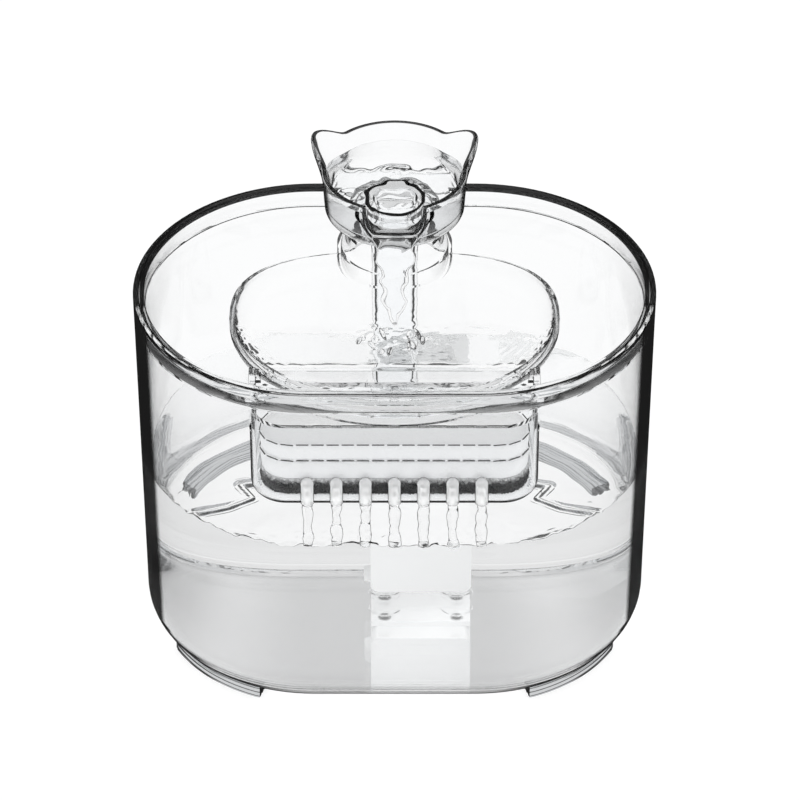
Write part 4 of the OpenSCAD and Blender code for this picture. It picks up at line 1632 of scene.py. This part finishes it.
@dataclass
class Splash:
    """Drops and small fins of water where the spout's stream lands, by Geometry Nodes."""

    count: int = 15
    width: float = 20.0
    depth: float = 8.0
    front: float = -23.0
    level: float = 136.9
    drop: float = 1.25
    seed: int = 4

    def sizes(self) -> dict[str, object]:
        """The tree's named inputs, in metres.

        Returns:
            Each input's value by its name.
        """
        lengths = {
            "Width": self.width,
            "Depth": self.depth,
            "Front": self.front,
            "Level": self.level,
            "Drop": self.drop,
        }
        metres = {name: length * MM for name, length in lengths.items()}
        return {"Count": self.count, **metres, "Seed": self.seed}

    def tree(self, material: bpy.types.Material) -> bpy.types.NodeTree:
        """Builds the tree: an oval ring of turned and stretched drops.

        Args:
            material: The drops' finish.

        Returns:
            The tree.
        """
        tree, graph, entry = new_grower("splash", self.sizes(), carries=False)
        ring = graph.add("GeometryNodeMeshCircle")
        graph.feed(ring.inputs["Vertices"], entry.outputs["Count"])
        ring.inputs["Radius"].default_value = 0.5
        shift = graph.add("FunctionNodeRandomValue", data_type="FLOAT_VECTOR")
        shift.inputs[0].default_value = (-0.16, -0.3, 0.0)
        shift.inputs[1].default_value = (0.16, 0.3, 0.9 * MM)
        graph.feed(shift.inputs["Seed"], entry.outputs["Seed"])
        loose = graph.add("GeometryNodeSetPosition")
        graph.feed(loose.inputs["Geometry"], ring.outputs[0])
        graph.feed(loose.inputs["Offset"], shift.outputs[0])
        spot = graph.join(0.0, entry.outputs["Front"], entry.outputs["Level"])
        size = graph.join(entry.outputs["Width"], entry.outputs["Depth"], 1.0)
        laid = graph.add("GeometryNodeTransform")
        graph.feed(laid.inputs["Geometry"], loose.outputs[0])
        graph.feed(laid.inputs["Translation"], spot)
        graph.feed(laid.inputs["Scale"], size)
        drop = graph.add("GeometryNodeMeshIcoSphere")
        graph.feed(drop.inputs["Radius"], entry.outputs["Drop"])
        drop.inputs["Subdivisions"].default_value = 4
        turn = graph.add("FunctionNodeRandomValue", data_type="FLOAT_VECTOR")
        turn.inputs[0].default_value = (-0.6, -0.9, 0.0)
        turn.inputs[1].default_value = (0.6, 0.9, 6.28)
        grow = graph.add("FunctionNodeRandomValue", data_type="FLOAT_VECTOR")
        grow.inputs[0].default_value = (0.5, 0.35, 0.7)
        grow.inputs[1].default_value = (1.9, 0.7, 2.6)
        many = graph.add("GeometryNodeInstanceOnPoints")
        graph.feed(many.inputs["Points"], laid.outputs[0])
        graph.feed(many.inputs["Instance"], drop.outputs["Mesh"])
        graph.feed(many.inputs["Rotation"], turn.outputs[0])
        graph.feed(many.inputs["Scale"], grow.outputs[0])
        close_grower(graph, many.outputs[0], material)
        return tree

    def build(self, material: bpy.types.Material) -> None:
        """Makes the splash on the basin's water."""
        mesh = grown_mesh("basin_splash", self.tree(material), self.sizes())
        place("basin_splash", mesh, material, Body.TRAY, Slot.TRAY)


# --------------------------------------------------------------------- the pad


@dataclass(frozen=True)
class PadLayer:
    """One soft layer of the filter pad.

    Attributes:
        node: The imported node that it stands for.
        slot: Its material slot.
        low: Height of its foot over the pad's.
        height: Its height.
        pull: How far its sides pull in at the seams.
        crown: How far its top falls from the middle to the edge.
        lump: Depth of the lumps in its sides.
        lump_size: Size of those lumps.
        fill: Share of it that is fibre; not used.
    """

    node: str
    slot: Slot
    low: float
    height: float
    pull: float
    crown: float
    lump: float
    lump_size: float
    fill: float


@dataclass
class FilterPad:
    """The filter pad in its box: cotton, a granule pocket, carbon and a thin felt."""

    half: float = 35.9
    radius: float = 10.1
    centre: float = -42.0
    low: float = 91.9
    layers: tuple[PadLayer, ...] = (
        PadLayer("bottom_cotton", Slot.COTTON, 0.0, 2.6, 0.35, 0.1, 0.12, 3.0, 0.9),
        PadLayer("carbon_layer", Slot.CARBON, 2.6, 6.5, 0.45, 0.1, 0.3, 2.0, 0.8),
        PadLayer("resin_layer", Slot.COTTON, 9.1, 7.6, 0.6, 0.15, 0.28, 3.2, 0.85),
        PadLayer("top_cotton", Slot.COTTON, 16.7, 8.0, 0.65, 1.3, 0.25, 7.0, 0.7),
    )

    def oval(self, drawn: float, z: float, count: int = 420) -> Ring:
        """A racetrack ring about the pad's middle, drawn in from its outline."""
        ring = racetrack(self.half, max(0.0, self.radius - drawn), z, count)
        return [(x, y + self.centre, height) for x, y, height in ring]

    def cushion(self, layer: PadLayer) -> Shape:
        """A crowned closed layer whose sides pull in at its seams.

        Args:
            layer: The layer.

        Returns:
            Its closed shape.
        """
        low, high = self.low + layer.low, self.low + layer.low + layer.height
        steps = 12
        rings: list[Ring] = []
        profile: list[tuple[float, float]] = []
        for step in range(10):
            profile.append((self.radius * (1 - step / 9) ** 1.3 + layer.pull, low))
        for step in range(1, steps):
            share = step / steps
            pinch = abs(2 * share - 1) ** 3
            profile.append((layer.pull * pinch, low + layer.height * share))
        for step in range(14):
            profile.append((layer.pull + self.radius * (step / 13) ** 1.3, high))
        for drawn, z in profile:
            ring: Ring = []
            inner = min(1.0, drawn / self.radius)
            for x, y, height in self.oval(drawn, z):
                push = layer.lump * cloud(x, y + z, layer.low, layer.lump_size)
                across = (y - self.centre) / self.radius
                if z == high:
                    height -= layer.crown * (1 - inner) ** 2 - 0.5 * push
                elif z > low:
                    y += push * across
                    x += push * math.copysign(1, x) * (abs(x) > self.half)
                ring.append((x, y, height))
            rings.append(ring)
        shape = Shape()
        shape.loft(rings)
        return shape

    def seam_line(self, z: float, out: float) -> bpy.types.Mesh:
        """A closed line of edges round the pad, for the stitches to follow.

        Args:
            z: Height of the line.
            out: Distance outside the pad's outline.

        Returns:
            A mesh of edges alone.
        """
        ring = self.oval(-out, z, 300)
        mesh = bpy.data.meshes.new("seam_line")
        edges = [(index, (index + 1) % len(ring)) for index in range(len(ring))]
        mesh.from_pydata([(x * MM, y * MM, height * MM) for x, y, height in ring], edges, [])
        return mesh

    def stitch_tree(self, sizes: dict[str, object], thread: bpy.types.Material) -> bpy.types.NodeTree:
        """Builds the tree that lays stitches along a line.

        Args:
            sizes: Its named inputs.
            thread: The stitches' finish.

        Returns:
            The tree.
        """
        tree, graph, entry = new_grower("stitches", sizes, carries=True)
        curve = graph.add("GeometryNodeMeshToCurve")
        graph.feed(curve.inputs[0], entry.outputs["Geometry"])
        fine = graph.add("GeometryNodeResampleCurve")
        fine.mode = "LENGTH"
        graph.feed(fine.inputs["Curve"], curve.outputs[0])
        graph.feed(fine.inputs["Length"], entry.outputs["Pitch"])
        stitch = graph.add("GeometryNodeMeshCylinder")
        stitch.inputs["Vertices"].default_value = 8
        graph.feed(stitch.inputs["Radius"], entry.outputs["Radius"])
        graph.feed(stitch.inputs["Depth"], entry.outputs["Length"])
        aim = graph.add("FunctionNodeAlignRotationToVector")
        graph.feed(aim.inputs["Vector"], graph.add("GeometryNodeInputTangent").outputs[0])
        many = graph.add("GeometryNodeInstanceOnPoints")
        graph.feed(many.inputs["Points"], fine.outputs[0])
        graph.feed(many.inputs["Instance"], stitch.outputs["Mesh"])
        graph.feed(many.inputs["Rotation"], aim.outputs[0])
        close_grower(graph, many.outputs[0], thread)
        return tree

    def granule_tree(self, sizes: dict[str, object], grain: bpy.types.Material) -> bpy.types.NodeTree:
        """Builds the tree that sets granules all over the carbon layer's sides.

        Args:
            sizes: Its named inputs.
            grain: The granules' finish.

        Returns:
            The tree.
        """
        tree, graph, entry = new_grower("granules", sizes, carries=True)
        upward = graph.split(graph.add("GeometryNodeInputNormal").outputs[0])[2]
        upright = graph.math("LESS_THAN", graph.math("ABSOLUTE", upward), 0.8)
        spread = graph.add("GeometryNodeDistributePointsOnFaces")
        graph.feed(spread.inputs["Mesh"], entry.outputs["Geometry"])
        graph.feed(spread.inputs["Selection"], upright)
        graph.feed(spread.inputs["Density"], entry.outputs["Density"])
        graph.feed(spread.inputs["Seed"], entry.outputs["Seed"])
        bead = graph.add("GeometryNodeMeshIcoSphere")
        graph.feed(bead.inputs["Radius"], entry.outputs["Grain"])
        bead.inputs["Subdivisions"].default_value = 1
        turn = graph.add("FunctionNodeRandomValue", data_type="FLOAT_VECTOR")
        turn.inputs[1].default_value = (6.28, 6.28, 6.28)
        grow = graph.add("FunctionNodeRandomValue", data_type="FLOAT_VECTOR")
        grow.inputs[0].default_value = (0.5, 0.5, 0.5)
        grow.inputs[1].default_value = (1.3, 1.2, 1.3)
        many = graph.add("GeometryNodeInstanceOnPoints")
        graph.feed(many.inputs["Points"], spread.outputs[0])
        graph.feed(many.inputs["Instance"], bead.outputs["Mesh"])
        graph.feed(many.inputs["Rotation"], turn.outputs[0])
        graph.feed(many.inputs["Scale"], grow.outputs[0])
        both = graph.add("GeometryNodeJoinGeometry")
        graph.feed(both.inputs[0], many.outputs[0])
        graph.feed(both.inputs[0], entry.outputs["Geometry"])
        close_grower(graph, both.outputs[0], grain)
        return tree

    def build(self) -> None:
        """Makes each layer in place of its plain node, and the stitches between them."""
        cotton, carbon, thread = COTTON.material(), CARBON.material(), THREAD.material()
        for layer in self.layers:
            mesh = self.cushion(layer).mesh(layer.node + "_soft", 60)
            finish = cotton
            if layer.slot is Slot.CARBON:
                finish = carbon
                sizes: dict[str, object] = {"Density": 2.6e6, "Grain": 0.46 * MM, "Seed": 3}
                mesh = grown_mesh("carbon_layer_soft", self.granule_tree(sizes, carbon), sizes, mesh)
            piece = place(layer.node + "_soft", mesh, finish, Body.PAD, layer.slot)
            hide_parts(layer.node)
        sizes = {"Pitch": 5.2 * MM, "Length": 4.2 * MM, "Radius": 0.2 * MM}
        tree = self.stitch_tree(sizes, thread)
        for number, (layer, rise) in enumerate(zip(self.layers[2:], (0.7, -0.4)), 1):
            line = self.seam_line(self.low + layer.low + layer.height + rise, 0.05)
            mesh = grown_mesh(f"pad_stitches_{number}", tree, sizes, line)
            place(f"pad_stitches_{number}", mesh, thread, Body.PAD, Slot.COTTON)


@dataclass
class IntakeFoam:
    """The foam block behind the pump's intake slots.

    Attributes:
        squareness: How nearly its rounded form is a block, less being squarer.
        inset: How far its faces lie inside its node's.
        pore_depth: Depth of the pores in its faces.
        rows: Rings from one end to the other.
        count: Points in a ring.
    """

    squareness: float = 0.28
    inset: float = 0.15
    pore_depth: float = 0.12
    rows: int = 26
    count: int = 96

    def build(self, node: bpy.types.Object) -> None:
        """Makes the foam with rounded, slightly bulged faces in place of its node.

        Args:
            node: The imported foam.
        """
        corners = [Vector(corner) / MM for corner in node.bound_box]
        low = Vector(min(corner[axis] for corner in corners) for axis in range(3))
        high = Vector(max(corner[axis] for corner in corners) for axis in range(3))
        middle, half = (low + high) / 2, (high - low) / 2
        rings: list[Ring] = []
        for row in range(self.rows + 1):
            tilt = math.pi * (row / self.rows - 0.5)
            ring: Ring = []
            for index in range(self.count):
                turn = 2 * math.pi * index / self.count
                way = (math.cos(tilt) * math.cos(turn), math.sin(tilt), math.cos(tilt) * math.sin(turn))
                spot = [math.copysign(abs(share) ** self.squareness, share) for share in way]
                pore = self.pore_depth * cloud(20 * way[0], 20 * way[1], 20 * way[2], 1.1)
                span = [size - self.inset - pore for size in half]
                ring.append(tuple(middle[axis] + spot[axis] * span[axis] for axis in range(3)))
            rings.append(ring)
        shape = Shape()
        shape.loft(rings)
        mesh = shape.mesh("intake_foam_soft", 60)
        piece = place("intake_foam_soft", mesh, FOAM.material(), Body.PUMP, Slot.FOAM)
        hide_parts(node.name)


@dataclass
class Pump:
    """The submersible pump on its suction cups, with its sleeve and riser."""

    finishes: dict[str, SolidFinish] = field(
        default_factory=lambda: {
            "pump_housing": PUMP_PLASTIC,
            "pump_cover": PUMP_PLASTIC,
            "back_cap": PUMP_PLASTIC,
            "intake_hood": PUMP_PLASTIC,
            "flow_slider": PUMP_PLASTIC,
            "pump_base": PUMP_PLASTIC,
            "impeller": ROTOR_PLASTIC,
            "rotor_magnet": FERRITE,
            "rotor_shaft": CERAMIC,
            "front_bush": RUBBER,
            "rear_bush": RUBBER,
            "cover_seal": RUBBER,
            "cable_gland": PALE_RUBBER,
            "stator_core": STEEL,
            "stator_coils": COPPER,
            "drive_board": BOARD,
        }
    )
    suction_cups: int = 4

    def dress(self, nodes: dict[str, bpy.types.Object], suction: bpy.types.Material) -> None:
        """Gives the pump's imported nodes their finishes.

        Args:
            nodes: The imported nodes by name.
            suction: The clear silicone of the suction cups.
        """
        built: dict[str, bpy.types.Material] = {}
        for name, finish in self.finishes.items():
            if finish.name not in built:
                built[finish.name] = finish.material()
            dress(nodes[name], built[finish.name])
        dress(nodes["outlet_adapter"], SILICONE.material())
        dress(nodes["riser_tube"], CLEAR_RISER.material())
        for number in range(1, self.suction_cups + 1):
            dress(nodes[f"suction_cup_{number}"], suction)


def new_grower(
    name: str, sizes: dict[str, object], carries: bool
) -> tuple[bpy.types.NodeTree, Graph, bpy.types.Node]:
    """Starts a Geometry Nodes tree with named inputs.

    Args:
        name: The tree's name.
        sizes: Its inputs, whole numbers or lengths.
        carries: Whether it also takes the carrier's own geometry.

    Returns:
        The tree, its graph and its input node.
    """
    tree = bpy.data.node_groups.new(name, "GeometryNodeTree")
    if carries:
        tree.interface.new_socket("Geometry", in_out="INPUT", socket_type="NodeSocketGeometry")
    for key, value in sizes.items():
        kind = "NodeSocketInt" if isinstance(value, int) else "NodeSocketFloat"
        tree.interface.new_socket(key, in_out="INPUT", socket_type=kind)
    tree.interface.new_socket("Geometry", in_out="OUTPUT", socket_type="NodeSocketGeometry")
    graph = Graph(tree)
    return tree, graph, graph.add("NodeGroupInput")


def close_grower(graph: Graph, result: bpy.types.NodeSocket, material: bpy.types.Material) -> None:
    """Ends a tree with real copies, smooth shading and the finish.

    Args:
        graph: The tree's graph.
        result: The geometry that it ends in.
        material: The finish.
    """
    real = graph.add("GeometryNodeRealizeInstances")
    graph.feed(real.inputs[0], result)
    soft = graph.add("GeometryNodeSetShadeSmooth")
    graph.feed(soft.inputs["Geometry"], real.outputs[0])
    finish = graph.add("GeometryNodeSetMaterial")
    graph.feed(finish.inputs["Geometry"], soft.outputs[0])
    finish.inputs["Material"].default_value = material
    leave = graph.add("NodeGroupOutput")
    graph.feed(leave.inputs[0], finish.outputs[0])


def grown_mesh(
    name: str, tree: bpy.types.NodeTree, sizes: dict[str, object], seed: bpy.types.Mesh | None = None
) -> bpy.types.Mesh:
    """Runs a Geometry Nodes tree and keeps its result as a plain mesh.

    Args:
        name: Name of the mesh.
        tree: The tree to run.
        sizes: Values for its named inputs.
        seed: The mesh that the tree starts from, if it takes one.

    Returns:
        The mesh.
    """
    carrier = bpy.data.objects.new(name + "_carrier", seed or bpy.data.meshes.new(name + "_seed"))
    bpy.context.scene.collection.objects.link(carrier)
    modifier = carrier.modifiers.new("grow", "NODES")
    modifier.node_group = tree
    for item in tree.interface.items_tree:
        if item.item_type == "SOCKET" and item.in_out == "INPUT" and item.name in sizes:
            modifier[item.identifier] = sizes[item.name]
    graph = bpy.context.evaluated_depsgraph_get()
    mesh = bpy.data.meshes.new_from_object(carrier.evaluated_get(graph), depsgraph=graph)
    mesh.name = name
    carrier.modifiers.clear()
    bpy.data.objects.remove(carrier)
    return mesh


# ---------------------------------------------------------------------- studio


@dataclass
class Studio:
    """Floor, light and camera.

    Attributes:
        eye: Where the camera stands.
        aim: Where it looks.
        lens: Its focal length.
        pool_radius: Reach of the white that mirrors see under the tank.
        pool_fade: How far beyond that the white fades.
        floor_grey: The floor's own grey.
        floor_glow: Light that it adds, so that it's white where it is seen.
        floor_half: Half its width, in metres.
        shade: How much it dims, seen through the fountain.
        shade_edge: How far beyond the pool's reach the shade is full.
        shade_from: Where the shade starts to fade.
        shade_to: Where it has faded.
        wall_dark: The room's walls at the horizon, as mirrors see them.
        wall_pale: The same walls above it.
        wall_height: Upward share of the view where they are palest.
        wall_sway: How much they vary round the room.
    """

    eye: Point = (1.9, -1211.7, 1046.4)
    aim: Point = (1.9, 0.0, 93.5)
    lens: float = 195.5
    pool_radius: float = 66.0
    pool_fade: float = 14.0
    floor_grey: float = 0.4
    floor_glow: float = 0.72
    floor_half: float = 6.0
    shade: float = 0.14
    shade_edge: float = 2.0
    shade_from: float = 96.0
    shade_to: float = 130.0
    wall_dark: float = 0.05
    wall_pale: float = 0.95
    wall_height: float = 0.4
    wall_sway: float = 0.06

    def camera(self) -> None:
        """Puts the camera at its place."""
        data = bpy.data.cameras.new("studio_camera")
        data.lens = self.lens
        data.sensor_width = 36.0
        data.clip_end = 50.0
        camera = bpy.data.objects.new("studio_camera", data)
        bpy.context.scene.collection.objects.link(camera)
        eye = Vector(self.eye) * MM
        camera.location = eye
        camera.rotation_euler = (Vector(self.aim) * MM - eye).to_track_quat("-Z", "Y").to_euler()
        bpy.context.scene.camera = camera

    def floor(self) -> None:
        """Lays the pale floor, white where it is seen and dimmer where it is mirrored."""
        material, graph, plain, output = new_material("studio_floor")
        plain.inputs["Base Color"].default_value = grey(self.floor_grey)
        plain.inputs["Roughness"].default_value = 1.0
        plain.inputs["Specular IOR Level"].default_value = 0.0
        path = graph.add("ShaderNodeLightPath")
        glow = graph.add("ShaderNodeEmission")
        glow.inputs["Strength"].default_value = self.floor_glow
        lit = graph.add("ShaderNodeAddShader")
        graph.feed(lit.inputs[0], plain.outputs[0])
        graph.feed(lit.inputs[1], glow.outputs[0])
        reach = placed_group(graph, SurfaceEffects.racetrack_reach()).outputs["Reach"]
        pool = self.pool_radius
        under = graph.span(reach, pool * MM, (pool + self.pool_fade) * MM, 1.0, 0.03)
        near = graph.every(
            graph.span(reach, pool * MM, (pool + self.shade_edge) * MM, 0.0, 1.0),
            graph.span(reach, self.shade_from * MM, self.shade_to * MM, 1.0, 0.0),
        )
        scattered = graph.math("GREATER_THAN", path.outputs["Diffuse Depth"], 0.5)
        mirrored = graph.math("GREATER_THAN", path.outputs["Glossy Depth"], 0.5)
        seen_by_mirror = graph.math("MAXIMUM", under, graph.math("MULTIPLY", scattered, 0.8))
        bent = graph.math("MAXIMUM", path.outputs["Is Transmission Ray"], mirrored)
        shaded = graph.math("MULTIPLY_ADD", near, -self.shade, 1.0)
        through = graph.math("MULTIPLY", shaded, graph.math("SUBTRACT", 1.0, mirrored))
        level = graph.math("ADD", graph.math("MULTIPLY", mirrored, seen_by_mirror), through)
        far = graph.add("ShaderNodeEmission")
        graph.feed(far.inputs["Strength"], level)
        graph.feed(output.inputs["Surface"], graph.shader_mix(bent, lit.outputs[0], far.outputs[0]))
        mesh = bpy.data.meshes.new("studio_floor")
        half = self.floor_half
        corners = [(-half, -half, 0), (half, -half, 0), (half, half, 0), (-half, half, 0)]
        mesh.from_pydata(corners, [], [(0, 1, 2, 3)])
        mesh.materials.append(material)
        floor = bpy.data.objects.new("studio_floor", mesh)
        bpy.context.scene.collection.objects.link(floor)

    def world(self) -> None:
        """Sets soft even light, with a white horizon and greyer walls for mirrors."""
        world = bpy.data.worlds.new("studio_room")
        bpy.context.scene.world = world
        world.use_nodes = True
        world.node_tree.nodes.clear()
        graph = Graph(world.node_tree)
        x, y, z = graph.split(graph.add("ShaderNodeTexCoord").outputs["Generated"])
        path = graph.add("ShaderNodeLightPath")
        bearing = graph.math("ARCTAN2", y, x)
        walls = graph.span(z, 0.0, self.wall_height, self.wall_dark, self.wall_pale)
        turns = graph.math("COSINE", graph.math("MULTIPLY", bearing, 8.0))
        room = graph.math("ADD", walls, graph.math("MULTIPLY", turns, -self.wall_sway))
        ahead = graph.span(z, 0.45, 0.9, 1.0, 0.0)
        direct = graph.math("SUBTRACT", 1.0, graph.math("GREATER_THAN", path.outputs["Diffuse Depth"], 0.5))
        bent = graph.math("MULTIPLY", path.outputs["Is Transmission Ray"], direct)
        unbent = graph.math("SUBTRACT", 1.0, bent)
        sky = graph.math("ADD", graph.math("MULTIPLY", bent, ahead), unbent)
        mirrored = graph.math("GREATER_THAN", path.outputs["Glossy Depth"], 0.5)
        mirrored = graph.math("MULTIPLY", mirrored, direct)
        unmirrored = graph.math("SUBTRACT", 1.0, mirrored)
        in_mirror = graph.math("MULTIPLY", mirrored, room)
        strength = graph.math("ADD", in_mirror, graph.math("MULTIPLY", unmirrored, sky))
        light = graph.add("ShaderNodeBackground")
        graph.feed(light.inputs["Strength"], strength)
        output = graph.add("ShaderNodeOutputWorld")
        graph.feed(output.inputs["Surface"], light.outputs[0])

    def settle(self) -> None:
        """Sets the view and lets light pass enough clear walls."""
        scene = bpy.context.scene
        scene.view_settings.view_transform = "Standard"
        scene.cycles.max_bounces = 28
        scene.cycles.transmission_bounces = 28
        scene.cycles.glossy_bounces = 14
        scene.cycles.transparent_max_bounces = 32
        scene.cycles.diffuse_bounces = 3
        scene.cycles.blur_glossy = 0.0


def main() -> None:
    """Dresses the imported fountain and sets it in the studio."""
    logging.basicConfig(level=logging.INFO, format="%(name)s: %(message)s")
    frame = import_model()
    nodes = frame["nodes"]
    studio = Studio()
    studio.camera()
    studio.floor()
    studio.world()
    studio.settle()

    suction = SUCTION.material()
    Pump().dress(nodes, suction)
    dress(nodes["cup_seal"], suction)
    dress(nodes["outlet_nozzles"], CLEAR_NOZZLE.material())
    dress(nodes["filter_box"], CLEAR_BOX.material())

    Tank().build(nodes)
    Tray().build(nodes)
    SpoutCup().build()
    running = RUNNING_WATER.material()
    SpoutStream().build(running)
    NozzleStreams().build(running)
    Splash().build(running)
    FilterPad().build()
    IntakeFoam().build(nodes["intake_foam"])


if __name__ == "__main__":
    main()
